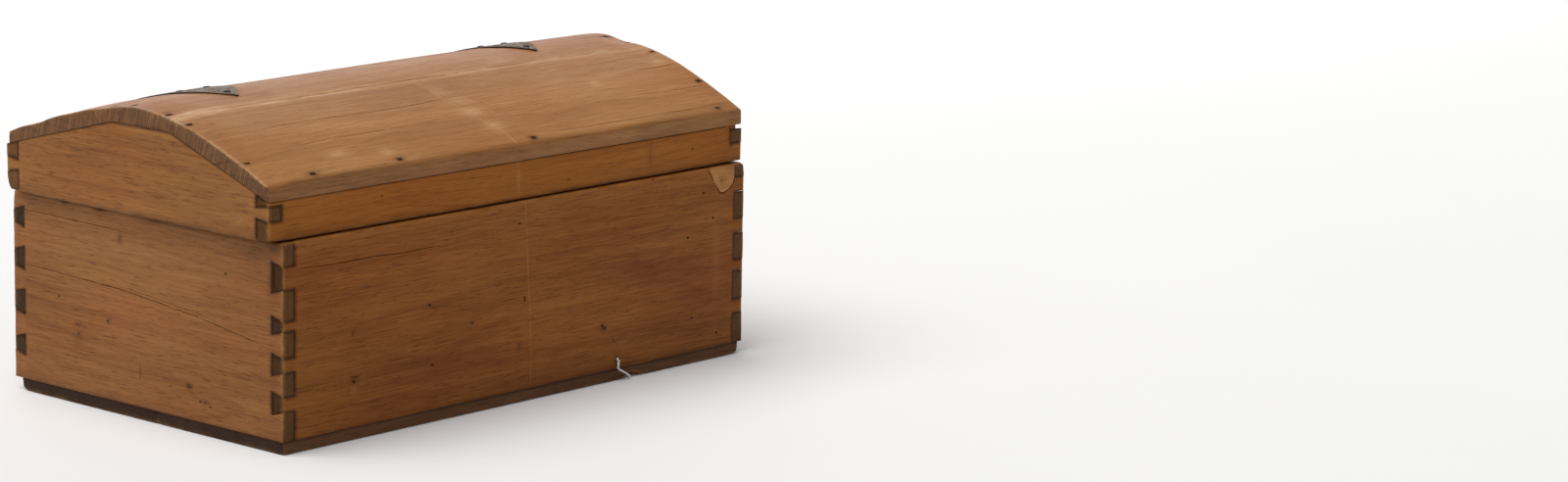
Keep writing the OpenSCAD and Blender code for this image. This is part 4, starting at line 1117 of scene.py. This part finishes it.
def top_board(sa, sb, nails, step=3.4):
    xm = [v for x, _ in nails for v in (x - NW, x + NW)]
    sm = [v for _, s in nails for v in (s - ND, s + ND)]
    xs = lines(LX0, LX1, step, xm, fine=(0.9,))
    ss = lines(sa, sb, step, sm, fine=(0.9,))
    ws = lines(-TN, 0, 3.4, [-2.7], fine=(), end_fine=(0.7,))

    def keep(x, s, w):
        k = np.ones(x.shape, bool)
        for nx, ns in nails:
            k &= ~((np.abs(x - nx) < NW) & (np.abs(s - ns) < ND) & (w > -2.7))
        return k

    return lattice(xs, ss, ws, keep)


def top_piece(name, sa, sb, nails, seed, material, body, node, marks, edge_r, spots_dark=(), spots_light=()):
    v, q = top_board(sa, sb, nails)
    x, s, w = v[:, 0], v[:, 1], v[:, 2]
    on_top = smooth((w + 4.5) / 4.5)
    # rounding in flat coordinates: x, s and depth under the crown
    lo, hi = np.array([LX0, sa, -BIG]), np.array([LX1, sb, 0.0])
    p0 = v.copy()
    r = 1.0 + 0.5 * noise(v, (40, 40, 40), seed) + 0.35 * noise(v, 9, seed + 3)
    es = np.minimum(s - sa, sb - s)
    ex = np.minimum(x - LX0, LX1 - x)
    side_a, side_b = edge_r
    rs = np.where(s - sa < sb - s, side_a, side_b)
    r = np.where(es < ex, rs * (1 + 0.3 * noise(v, (30, 30, 30), seed + 6)), 1.7 * r)
    v = rounded(v, lo, hi, np.clip(r, 0.3, 5.0))
    wear_and_painted_light = np.exp(-((edge_distance(p0, lo, hi) / 1.9) ** 2)) * (0.42 + 0.55 * noise(p0, (24, 24, 24), seed + 8)) * on_top
    x, s, w = v[:, 0], v[:, 1], v[:, 2]
    T = crown(s) - under(s)
    depth = np.where(-w < 3, -w, 3 + (-w - 3) * (T - 3) / (TN - 3))
    lift = (bow(x, s) - droop(x, s)) * np.clip(1 - depth / T, 0, 1)
    z = LZ + crown(s) - depth + lift
    real = np.stack([x, LY0 + s, z], 1)
    bd = Board(name, real, q)
    for kind, pts, kw in marks:
        if kind == "score":
            bd.score([(a, LY0 + b, LZ + float(crown(b))) for a, b in pts], (0, 0, 1), **kw)
        else:
            a, b = pts
            bd.pit((a, LY0 + b, LZ + float(crown(b))), (0, 0, 1), **kw)
    count = len(real)

    def worn(p, n, lay, mind):
        q = p.copy()
        s = p[:, 1] - LY0
        W = np.zeros(len(p))
        W[:count] = wear_and_painted_light
        up = n[:, 2] > 0.25
        joint = mind < 0.9
        flat = (mind > 0.93)[:, None]
        q += n * (0.25 * noise(p, (160, 60, 90), seed + 21, 1) + 0.10 * noise(p, (46, 9, 40), seed + 22))[:, None] * flat
        # tool chatter across the end grain
        end = np.abs(n[:, 0]) > 0.8
        q[:, 0] -= np.where(end, np.sign(n[:, 0]) * (0.28 * (noise(p, (40, 2.6, 30), seed + 41) + 0.6)), 0)
        q -= n * lay[:, 0:1]
        grime_and_shade = np.where(joint & ~up, 0.55, 0.0)
        pocket = np.zeros(len(p))
        for nx, ns in nails:
            dx = np.maximum(np.abs(p[:, 0] - nx) - NW, 0)
            ds = np.maximum(np.abs(s - ns) - ND, 0)
            soft = 0.25 if rubbed(nx, ns) else 1.0
            pocket = np.maximum(pocket, soft * np.exp(-((dx ** 2 + ds ** 2) / 1.6)))
        grime_and_shade = np.maximum(grime_and_shade, pocket * (0.55 if nails else 0))
        grime_and_shade = np.maximum(grime_and_shade, spots(np.stack([p[:, 0], s, s], 1), spots_dark, (0, 1)) * up)
        W = np.maximum(W, spots(np.stack([p[:, 0], s, s], 1), spots_light, (0, 1)) * up)
        if sa < 1:
            W *= smooth((s - 2) / 6)
            grime_and_shade = np.maximum(grime_and_shade, 0.5 * smooth((5.5 - s) / 3.5) * (0.85 + 0.3 * noise(p, (60, 20, 20), 91)))
        # painted shadow: the wood is darkened under each strap and in a narrow rim beside its edge, as the shade the
        # raised strap casts
        strap_shadow = np.zeros(len(p))
        for hx in HINGE_X:
            half = STRAP_W / 2 * np.clip((s - TIP_S) / 36, 0, 1)
            out = np.abs(p[:, 0] - hx) - half
            strap_shadow = np.maximum(strap_shadow, np.where(s > TIP_S - 3, np.exp(-np.maximum(out, 0) / 1.6), 0))
        grime_and_shade = np.maximum(grime_and_shade, 0.8 * strap_shadow * up)
        grime_and_shade = np.maximum(grime_and_shade, lay[:, 1])
        W = np.maximum(W * (1 - lay[:, 1]) * (1 - pocket), lay[:, 2])
        return q, W, grime_and_shade, np.zeros(len(p))

    return bd.make(worn, material, body, "top_wood", [node])


S = "score"
top_piece("top_front_board_worn", 0.0, S0, FRONT_NAILS, 31, M_TOPF, "lid", "top_front_board", [
    (S, [(-250, 79.3), (-193, 81.4), (-126, 80.4), (-80, 80.2), (-20, 83.2)], dict(half=0.35, depth=0.9, dark=0.85)),
    (S, [(-262, 45.0), (-197, 48.2), (-128, 49.2), (-90, 50.0)], dict(half=0.3, depth=0.35, dark=0.5)),
    (S, [(38, 11.0), (101, 10.2), (187, 10.6), (245, 11.4), (302, 12.6)], dict(half=0.35, depth=0.7, dark=0.72)),
    (S, [(186, 44.1), (244, 41.6), (301, 42.4)], dict(half=0.3, depth=0.4, dark=0.55)),
    (S, [(236, 82.8), (296, 81.6)], dict(half=0.4, depth=0.5, dark=0.75)),
    (S, [(-21, 127.6), (-20, 112.8), (-21.6, 81), (-15, 52), (-5, 20), (-6.4, 1.0)], dict(half=0.8, depth=0.1, dark=0, light=0.62, taper=False)),
    (S, [(-9, 111), (-0.6, 85), (8, 68), (11.8, 46)], dict(half=0.8, depth=0.1, dark=0, light=0.5)),
], (2.6, 0.55),
    # the long light lines along the seam at s 125-126 are wear with a painted highlight on the board edge, strongest at
    # the left end
    spots_light=[(169.5, 71, 7, 4, 0.6), (-208.5, 27, 12, 3.5, 0.5), (-155, 20, 7, 5, 0.5), (-10.5, 56, 13, 7, 0.5), (-6.8, 31, 10, 7, 0.55), (-8, 76, 10, 6, 0.35), (-14, 100, 8, 10, 0.28), (279, 92, 12, 5, 0.5),
                 (-281, 125, 36, 5.0, 1.0), (-202, 125.6, 44, 3.4, 0.85), (-120, 126, 60, 2.8, 0.7), (40, 126.3, 80, 2.4, 0.6), (190, 126.3, 80, 2.2, 0.5)],
    spots_dark=[(-256.5, 6.5, 9, 4, 0.5), (-151, 7, 8, 4, 0.5), (19, 7, 8, 4, 0.45), (272, 6.5, 9, 4, 0.45), (-170, 3, 30, 2.5, 0.3), (60, 2, 60, 2.5, 0.28), (240, 3, 50, 3, 0.3), (-300, 60, 10, 50, 0.12)])
top_piece("top_crest_board_worn", S0, S1, CREST_NAILS, 32, M_TOPC, "lid", "top_crest_board", [
    (S, [(-20, 130), (-22, 150), (-21, 170)], dict(half=0.8, depth=0.1, dark=0, light=0.4)),
    (S, [(286, 171), (301, 171.8)], dict(half=0.5, depth=0.7, dark=0.9)),
], (0.55, 0.5),
    # the long light lines along the seam at s 130-131 are wear with a painted highlight on the board edge, strongest at
    # the left end
    spots_light=[(-281, 130.5, 36, 3.6, 1.0), (-202, 130.2, 44, 2.6, 0.8), (-120, 130, 60, 2.2, 0.65), (40, 130, 80, 1.8, 0.5), (190, 130, 80, 1.8, 0.4), (108, 140, 20, 8, 0.2)],
    spots_dark=[(-305, 143, 7, 5, 0.35), (280, 172, 14, 4, 0.3)])
top_piece("top_back_board_worn", S1, DEP - 3.0, BACK_NAILS, 33, M_TOPB, "lid", "top_back_board", [
    (S, [(-180, 300), (-60, 303), (60, 301), (150, 304)], dict(half=0.4, depth=1.0, dark=0.85)),
    (S, [(60, 262), (160, 265), (240, 263)], dict(half=0.35, depth=0.6, dark=0.7)),
], (0.5, 1.6),
    spots_light=[(0, 345, 240, 2.2, 0.3), (60, 280, 14, 8, 0.4), (-120, 250, 12, 6, 0.35)],
    spots_dark=[(-275, DEP - 10, 9, 4, 0.5), (-80, DEP - 10, 8, 4, 0.5), (75, DEP - 10, 8, 4, 0.5), (240, DEP - 10, 9, 4, 0.5)])

# ------------------------------------------------------------------ nails


def nail_group(name, places, node, body, down=False):
    """Hand-cut nails: a hammered oblong head on a square shank, sunk in its pocket."""
    bm = bmesh.new()
    for i, (x, y, z, tilt, turn) in enumerate(places):
        part = bmesh.new()
        bmesh.ops.create_grid(part, x_segments=7, y_segments=5, size=0.5)
        for v in part.verts:
            v.co.x *= 6.1
            v.co.y *= 3.3
            e = max(abs(v.co.x) / 3.05, abs(v.co.y) / 1.65)
            v.co.z = -0.5 * e ** 3 + 0.12 * math.sin(3.1 * v.co.x + 1.7 * i) * math.cos(4.3 * v.co.y + i)
        border = [e for e in part.edges if e.is_boundary]
        ret = bmesh.ops.extrude_edge_only(part, edges=border)
        for v in [g for g in ret["geom"] if isinstance(g, bmesh.types.BMVert)]:
            v.co.z = -1.25
            v.co.x *= 0.95
            v.co.y *= 0.95
        border = [e for e in part.edges if e.is_boundary]
        ret = bmesh.ops.extrude_edge_only(part, edges=border)
        for v in [g for g in ret["geom"] if isinstance(g, bmesh.types.BMVert)]:
            v.co.x *= 0.42
            v.co.y *= 0.62
            v.co.z = -1.5
        border = [e for e in part.edges if e.is_boundary]
        ret = bmesh.ops.extrude_edge_only(part, edges=border)
        for v in [g for g in ret["geom"] if isinstance(g, bmesh.types.BMVert)]:
            v.co.x *= 0.75
            v.co.y *= 0.75
            v.co.z = -24.0
        border = [e for e in part.edges if e.is_boundary]
        bmesh.ops.contextual_create(part, geom=border)
        rot = Matrix.Rotation(math.radians(tilt), 4, "X")
        if down:
            rot = Matrix.Rotation(math.pi, 4, "X") @ Matrix.Rotation(math.radians(turn), 4, "Z")
        bmesh.ops.transform(part, matrix=Matrix.Translation((x, y, z)) @ rot, verts=part.verts)
        bmesh.ops.scale(part, vec=(0.001, 0.001, 0.001), verts=part.verts)
        for f in part.faces:
            f.material_index = 1 if rubbed(x, y - LY0) else 0
        tmp = bpy.data.meshes.new("tmp")
        part.to_mesh(tmp)
        part.free()
        bm.from_mesh(tmp)
        bpy.data.meshes.remove(tmp)
    bmesh.ops.recalc_face_normals(bm, faces=bm.faces)
    me = bpy.data.meshes.new(name)
    bm.to_mesh(me)
    bm.free()
    me.shade_smooth()
    me.set_sharp_from_angle(angle=math.radians(45))
    me.materials.append(M_NAIL)
    me.materials.append(M_NAILR)
    ob = bpy.data.objects.new(name, me)
    bpy.context.scene.collection.objects.link(ob)
    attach(ob, body)
    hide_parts(node)
    return ob


def top_places(nails, sink=1.15):
    out = []
    for x, s in nails:
        slope = math.degrees(math.atan((float(crown(s + 1)) - float(crown(s - 1))) / 2))
        z = LZ + float(crown(s)) + float(bow(np.array([x]), np.array([s]))[0]) - float(droop(np.array([x]), np.array([s]))[0])
        out.append((x, LY0 + s, z - sink, slope, 0))
    return out


nail_group("top_front_nails_cut", top_places(FRONT_NAILS), "top_front_nails", "lid")
nail_group("top_crest_nails_cut", top_places(CREST_NAILS), "top_crest_nails", "lid")
nail_group("top_back_nails_cut", top_places(BACK_NAILS), "top_back_nails", "lid")
nail_group("bottom_nails_cut", [(x, y, 0.45, 0, 90 * t) for x, y, t in FLOOR_NAILS], "bottom_nails", "box", down=True)

# ------------------------------------------------------------------ strap hinges


def loft(bm, rows):
    """A closed bar from rows of (top points, bottom points); returns the faces of its sides, ends and underside."""
    tops = [[bm.verts.new(p) for p in a] for a, _ in rows]
    bots = [[bm.verts.new(p) for p in b] for _, b in rows]
    dark = []
    for i in range(len(rows) - 1):
        a, b, c, d = tops[i], tops[i + 1], bots[i], bots[i + 1]
        for j in range(len(a) - 1):
            bm.faces.new((a[j], a[j + 1], b[j + 1], b[j]))
            dark.append(bm.faces.new((c[j + 1], c[j], d[j], d[j + 1])))
        dark.append(bm.faces.new((a[0], b[0], d[0], c[0])))
        dark.append(bm.faces.new((a[-1], c[-1], d[-1], b[-1])))
    for a, c in ((tops[0], bots[0]), (tops[-1], bots[-1])):
        for j in range(len(a) - 1):
            dark.append(bm.faces.new((a[j], c[j], c[j + 1], a[j + 1])))
    return dark


def strap_line():
    """The middle of a strap's thickness, from its crank over the eave to its point: distance back and height."""
    pts = [(DEP + 10.6, 1.05), (DEP + 0.83, 1.05), (DEP + 0.83, 43.3), (DEP - 3.9, 52.0)]
    for s in list(np.arange(DEP - 8, TIP_S + 2, -3.0)) + [TIP_S + 0.3]:
        k = float(crown(s + 0.5) - crown(s - 0.5))
        n = math.hypot(k, 1)
        pts.append((s - k / n * 0.83, float(crown(s)) + 0.83 / n))
    for _ in range(2):
        new = [pts[0]]
        for a, b in zip(pts[:-1], pts[1:]):
            new += [(0.75 * a[0] + 0.25 * b[0], 0.75 * a[1] + 0.25 * b[1]), (0.25 * a[0] + 0.75 * b[0], 0.25 * a[1] + 0.75 * b[1])]
        pts = new + [pts[-1]]
    pts = np.array(pts)
    run = np.concatenate([[0], np.cumsum(np.hypot(*np.diff(pts, axis=0).T))])
    at = np.concatenate([np.arange(0, run[-1] - 1.5, 2.6), [run[-1]]])
    return np.stack([np.interp(at, run, pts[:, 0]), np.interp(at, run, pts[:, 1])], 1)


def strap_piece(name, hx, node, seed):
    line = strap_line()
    tan = np.gradient(line, axis=0)
    tan /= np.linalg.norm(tan, axis=1, keepdims=True)
    nrm = np.stack([tan[:, 1], -tan[:, 0]], 1)
    cols = np.array([-1, -0.955, -0.82, -0.6, -0.36, -0.12, 0.12, 0.36, 0.6, 0.82, 0.955, 1])
    rows = []
    for (s, h), n in zip(line, nrm):
        half = max(1.3, STRAP_W / 2 * min(1.0, (s - TIP_S + 0.6) / 36) - 0.1)
        x = hx + cols * half
        ss = np.full(len(cols), s)
        p = np.stack([x, ss, np.full(len(cols), h)], 1)
        fade = min(1.0, max(0.0, (h - 2.3) / 42))
        up = (bow(x, ss) - droop(x, ss)) * fade
        # the loose edge near the point stands off the wood a little
        curl = 0.35 * np.exp(-(((s - TIP_S - 34) / 30) ** 2)) * np.clip(-cols, 0, 1) ** 3 + 0.25 * np.exp(-(((s - TIP_S) / 7) ** 2))
        wavy = 0.10 * noise(p, (13, 13, 13), seed) + 0.14 * noise(p, (38, 30, 30), seed + 3) + curl * (h > 60)
        edge = np.where(np.abs(cols) > 0.99, 0.45, np.where(np.abs(cols) > 0.95, 0.08, 0.0))
        if s < TIP_S + 1.5:
            edge = np.maximum(edge, 0.35)
        t = (0.8 - 0.4 * fade) + wavy - edge
        b = -0.8 + 0.6 * np.maximum(wavy, 0)
        rows.append(([((a) * 0.001, (LY0 + s + n[0] * k) * 0.001, (LZ + h + n[1] * k + l) * 0.001) for a, k, l in zip(x, t, up)],
                     [((a) * 0.001, (LY0 + s + n[0] * k) * 0.001, (LZ + h + n[1] * k + l) * 0.001) for a, k, l in zip(x, b, up)]))
    bm = bmesh.new()
    dark = loft(bm, rows)
    # middle knuckle and the tongue that joins it to the crank
    k0, k1 = hx - STRAP_W / 6 + 0.1, hx + STRAP_W / 6 - 0.1
    cy, cz = BY1 + 3.2, WZ1 + 0.75
    xs = np.linspace(k0, k1, 9)
    tongue = []
    for y in (LY0 + DEP + 10.4, cy - 1.6, cy + 0.3):
        tongue.append(([(a * 0.001, y * 0.001, (LZ + 1.82) * 0.001) for a in xs], [(a * 0.001, y * 0.001, (LZ + 0.28) * 0.001) for a in xs]))
    dark += loft(bm, tongue)
    rings = []
    for a, (r, e) in ((k0, (1.57, 0)), (k0, (2.7, 0)), (k0 + 0.3, (3.0, 0)), *((v, (3.0, 0)) for v in xs[1:-1]), (k1 - 0.3, (3.0, 0)), (k1, (2.7, 0)), (k1, (1.57, 0))):
        rings.append([bm.verts.new((a * 0.001, (cy + r * math.cos(q)) * 0.001, (cz + r * math.sin(q)) * 0.001)) for q in np.linspace(0, 2 * math.pi, 29)[:-1]])
    for a, b in zip(rings, rings[1:] + rings[:1]):
        for j in range(28):
            bm.faces.new((a[j], a[(j + 1) % 28], b[(j + 1) % 28], b[j]))
    # sides, ends and underside take the near-black edge iron, rust with painted shade under the strap's edge
    for f in dark:
        f.material_index = 1
    bmesh.ops.recalc_face_normals(bm, faces=bm.faces)
    me = bpy.data.meshes.new(name)
    bm.to_mesh(me)
    bm.free()
    me.shade_smooth()
    me.set_sharp_from_angle(angle=math.radians(42))
    me.materials.append(M_STRAP)
    me.materials.append(M_EDGE_RUST_AND_SHADE)
    ob = bpy.data.objects.new(name, me)
    bpy.context.scene.collection.objects.link(ob)
    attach(ob, "lid")
    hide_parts(node)


strap_piece("hinge_left_strap_forged", HINGE_X[0], "hinge_left_strap", 51)
strap_piece("hinge_right_strap_forged", HINGE_X[1], "hinge_right_strap", 57)


def clout_nails():
    """Clout nails with hammered round heads, bedded in the straps."""
    bm = bmesh.new()
    for k, hx in enumerate(HINGE_X):
        for i, (dx, s) in enumerate(STRAP_NAILS):
            x = hx + dx
            slope = math.atan(float(crown(s + 1) - crown(s - 1)) / 2)
            up = float(bow(np.array([x]), np.array([float(s)]))[0]) - float(droop(np.array([x]), np.array([float(s)]))[0])
            at = Matrix.Translation((x, LY0 + s, LZ + float(crown(s)) + up)) @ Matrix.Rotation(slope, 4, "X") @ Matrix.Translation((0, 0, 1.45))
            rings = []
            for r, z in ((1.25, -13.5), (1.3, -0.45), (3.2, -0.4), (3.35, 0.1), (2.9, 0.45), (1.9, 0.66), (0.8, 0.72)):
                ring = []
                for q in range(16):
                    a = 2 * math.pi * q / 16
                    w = 1 + (0.05 * math.sin(3 * a + i + 2 * k) if r > 1.5 else 0)
                    ring.append(bm.verts.new((at @ Vector((r * w * math.cos(a), r * w * math.sin(a), z + (0.07 * math.cos(2 * a + 1.3 * i) if r > 1.5 else 0)))) * 0.001))
                rings.append(ring)
            for a, b in zip(rings[:-1], rings[1:]):
                for q in range(16):
                    bm.faces.new((a[q], a[(q + 1) % 16], b[(q + 1) % 16], b[q]))
            bm.faces.new(rings[0])
            bm.faces.new(rings[-1])
    bmesh.ops.recalc_face_normals(bm, faces=bm.faces)
    me = bpy.data.meshes.new("strap_nails_clout")
    bm.to_mesh(me)
    bm.free()
    me.shade_smooth()
    me.set_sharp_from_angle(angle=math.radians(50))
    me.materials.append(M_NAIL)
    ob = bpy.data.objects.new("strap_nails_clout", me)
    bpy.context.scene.collection.objects.link(ob)
    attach(ob, "lid")
    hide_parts("strap_nails")


clout_nails()

# ------------------------------------------------------------------ twisted wire


def spline(pts, steps):
    pts = [Vector(p) for p in pts]
    pts = [2 * pts[0] - pts[1]] + pts + [2 * pts[-1] - pts[-2]]
    out = []
    for i in range(1, len(pts) - 2):
        a, b, c, d = pts[i - 1: i + 3]
        for k in range(steps):
            t = k / steps
            out.append(0.5 * ((2 * b) + (c - a) * t + (2 * a - 5 * b + 4 * c - d) * t * t + (3 * b - a - 3 * c + d) * t ** 3))
    out.append(pts[-2])
    return out


def wire_piece():
    w = 123.5
    path = spline([(w, BY0 + 14, 21.5), (w, BY0 + 6, 21.5), (w, BY0 - 0.4, 21.5), (w - 0.6, BY0 - 2.9, 20.0), (w - 2.1, BY0 - 3.9, 15.6),
                   (w - 1.7, BY0 - 4.3, 11.6), (w + 4, BY0 - 4.3, 8.6), (w + 10, BY0 - 3.7, 5.2), (w + 15.3, BY0 - 3.0, 1.9)], 8)
    bm = bmesh.new()
    for strand in (0, 1):
        rings, frame_n, dist = [], None, 0.0
        for i, p in enumerate(path):
            tan = (path[min(i + 1, len(path) - 1)] - path[max(i - 1, 0)]).normalized()
            if frame_n is None:
                frame_n = Vector((1, 0, 0)).cross(tan).normalized()
            frame_n = (frame_n - tan * frame_n.dot(tan)).normalized()
            if i:
                dist += (p - path[i - 1]).length
            bi = tan.cross(frame_n)
            ang = dist / 7.5 * 2 * math.pi + strand * math.pi
            open_up = 1.0 + 0.7 * math.exp(-((dist - 15) / 4.5) ** 2)
            c = p + (frame_n * math.cos(ang) + bi * math.sin(ang)) * 0.62 * open_up
            ring = []
            for k in range(10):
                a = 2 * math.pi * k / 10
                ring.append(bm.verts.new((c + (frame_n * math.cos(a) + bi * math.sin(a)) * 0.72) * 0.001))
            rings.append(ring)
        for a, b in zip(rings[:-1], rings[1:]):
            for k in range(10):
                bm.faces.new((a[k], a[(k + 1) % 10], b[(k + 1) % 10], b[k]))
        bm.faces.new(rings[0][::-1])
        bm.faces.new(rings[-1])
    bmesh.ops.recalc_face_normals(bm, faces=bm.faces)
    me = bpy.data.meshes.new("bent_wire_twisted")
    bm.to_mesh(me)
    bm.free()
    me.shade_smooth()
    me.set_sharp_from_angle(angle=math.radians(60))
    me.materials.append(M_WIRE)
    ob = bpy.data.objects.new("bent_wire_twisted", me)
    bpy.context.scene.collection.objects.link(ob)
    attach(ob, "box")
    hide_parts("bent_wire")


wire_piece()

# ------------------------------------------------------------------ carried-over hardware


def finish_node(name, material, width=0.25):
    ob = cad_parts[name]
    ob.data.materials.clear()
    ob.data.materials.append(material)
    if width:
        mod = ob.modifiers.new("soften", "BEVEL")
        mod.width = width * 0.001
        mod.segments = 2
        mod.limit_method = "ANGLE"
        mod.angle_limit = math.radians(50)
        mod.harden_normals = False


for side in ("left", "right"):
    finish_node(f"hinge_{side}_body_plate", M_HINGE)
    finish_node(f"hinge_{side}_pin", M_PIN, 0.2)
finish_node("body_plate_screws", M_SCREW, 0)
finish_node("corner_patch_nail", M_NAIL, 0)

# ------------------------------------------------------------------ floor, light, camera


def stage_floor():
    bm = bmesh.new()
    bmesh.ops.create_grid(bm, x_segments=2, y_segments=2, size=30.0)
    me = bpy.data.meshes.new("floor")
    bm.to_mesh(me)
    bm.free()
    t = Tree("pale_floor")
    bs = t.n("ShaderNodeBsdfPrincipled")
    tc = t.n("ShaderNodeTexCoord")
    f = t.noise(tc.outputs["Object"], detail=2.0, scale=1.5)
    t.put(bs.inputs["Base Color"], t.mix(f, lin(0.955, 0.955, 0.955), lin(0.97, 0.97, 0.97)))
    bs.inputs["Roughness"].default_value = 0.9
    bs.inputs["Specular IOR Level"].default_value = 0.1
    t.t.links.new(bs.outputs[0], t.out.inputs[0])
    me.materials.append(t.mat)
    ob = bpy.data.objects.new("floor", me)
    ob.location.z = -0.0004
    bpy.context.scene.collection.objects.link(ob)


stage_floor()


def aim(ob, direction):
    """Turns a light so that it shines along direction."""
    ob.rotation_mode = "QUATERNION"
    ob.rotation_quaternion = Vector(direction).to_track_quat("-Z", "Y")


def sun(name, toward, energy, spread, colour=(1, 1, 1)):
    data = bpy.data.lights.new(name, "SUN")
    data.energy = energy
    data.angle = math.radians(spread)
    data.color = colour
    ob = bpy.data.objects.new(name, data)
    bpy.context.scene.collection.objects.link(ob)
    aim(ob, toward)
    return ob


sun("key", (0.36, -0.16, -0.92), 2.5, 60, (1.0, 0.985, 0.96))
sun("fill", (0.25, 0.75, -0.55), 0.13, 70, (0.97, 0.985, 1.0))


def area(name, at, look, size, energy, colour=(1, 1, 1)):
    data = bpy.data.lights.new(name, "AREA")
    data.shape = "RECTANGLE"
    data.size, data.size_y = size
    data.energy = energy
    data.color = colour
    ob = bpy.data.objects.new(name, data)
    ob.location = at
    bpy.context.scene.collection.objects.link(ob)
    aim(ob, Vector(look) - Vector(at))
    return ob


area("back_softbox", (2.6, 3.0, 1.5), (0, 0, 0.2), (3.4, 1.6), 30)

world = bpy.data.worlds.new("studio")
bpy.context.scene.world = world
world.use_nodes = True
bg = world.node_tree.nodes["Background"]
bg.inputs[0].default_value = (0.93, 0.96, 1.0, 1)
bg.inputs[1].default_value = 0.23

cam = bpy.data.cameras.new("camera")
cam.sensor_fit = "HORIZONTAL"
cam.sensor_width = 36.0
cam.lens = 36.0 * 4375 / 1600
cam.clip_start, cam.clip_end = 0.1, 100
cam_ob = bpy.data.objects.new("camera", cam)
bpy.context.scene.collection.objects.link(cam_ob)
az, el, roll = math.radians(-49.15), math.radians(11.04), math.radians(1.167)
d = Vector((math.cos(el) * math.sin(az), -math.cos(el) * math.cos(az), math.sin(el)))
fwd = -d
right = fwd.cross(Vector((0, 0, 1))).normalized()
up = right.cross(fwd)
r2 = math.cos(roll) * right + math.sin(roll) * up
u2 = -math.sin(roll) * right + math.cos(roll) * up
pos = Vector((-0.00125, 0, 0.1)) + d * 4.069 + r2 * 0.3766 + u2 * 0.0244
cam_ob.matrix_world = Matrix((
    (r2.x, u2.x, d.x, pos.x),
    (r2.y, u2.y, d.y, pos.y),
    (r2.z, u2.z, d.z, pos.z),
    (0, 0, 0, 1),
))
bpy.context.scene.camera = cam_ob
bpy.context.scene.view_settings.view_transform = "Standard"
bpy.context.scene.view_settings.look = "None"
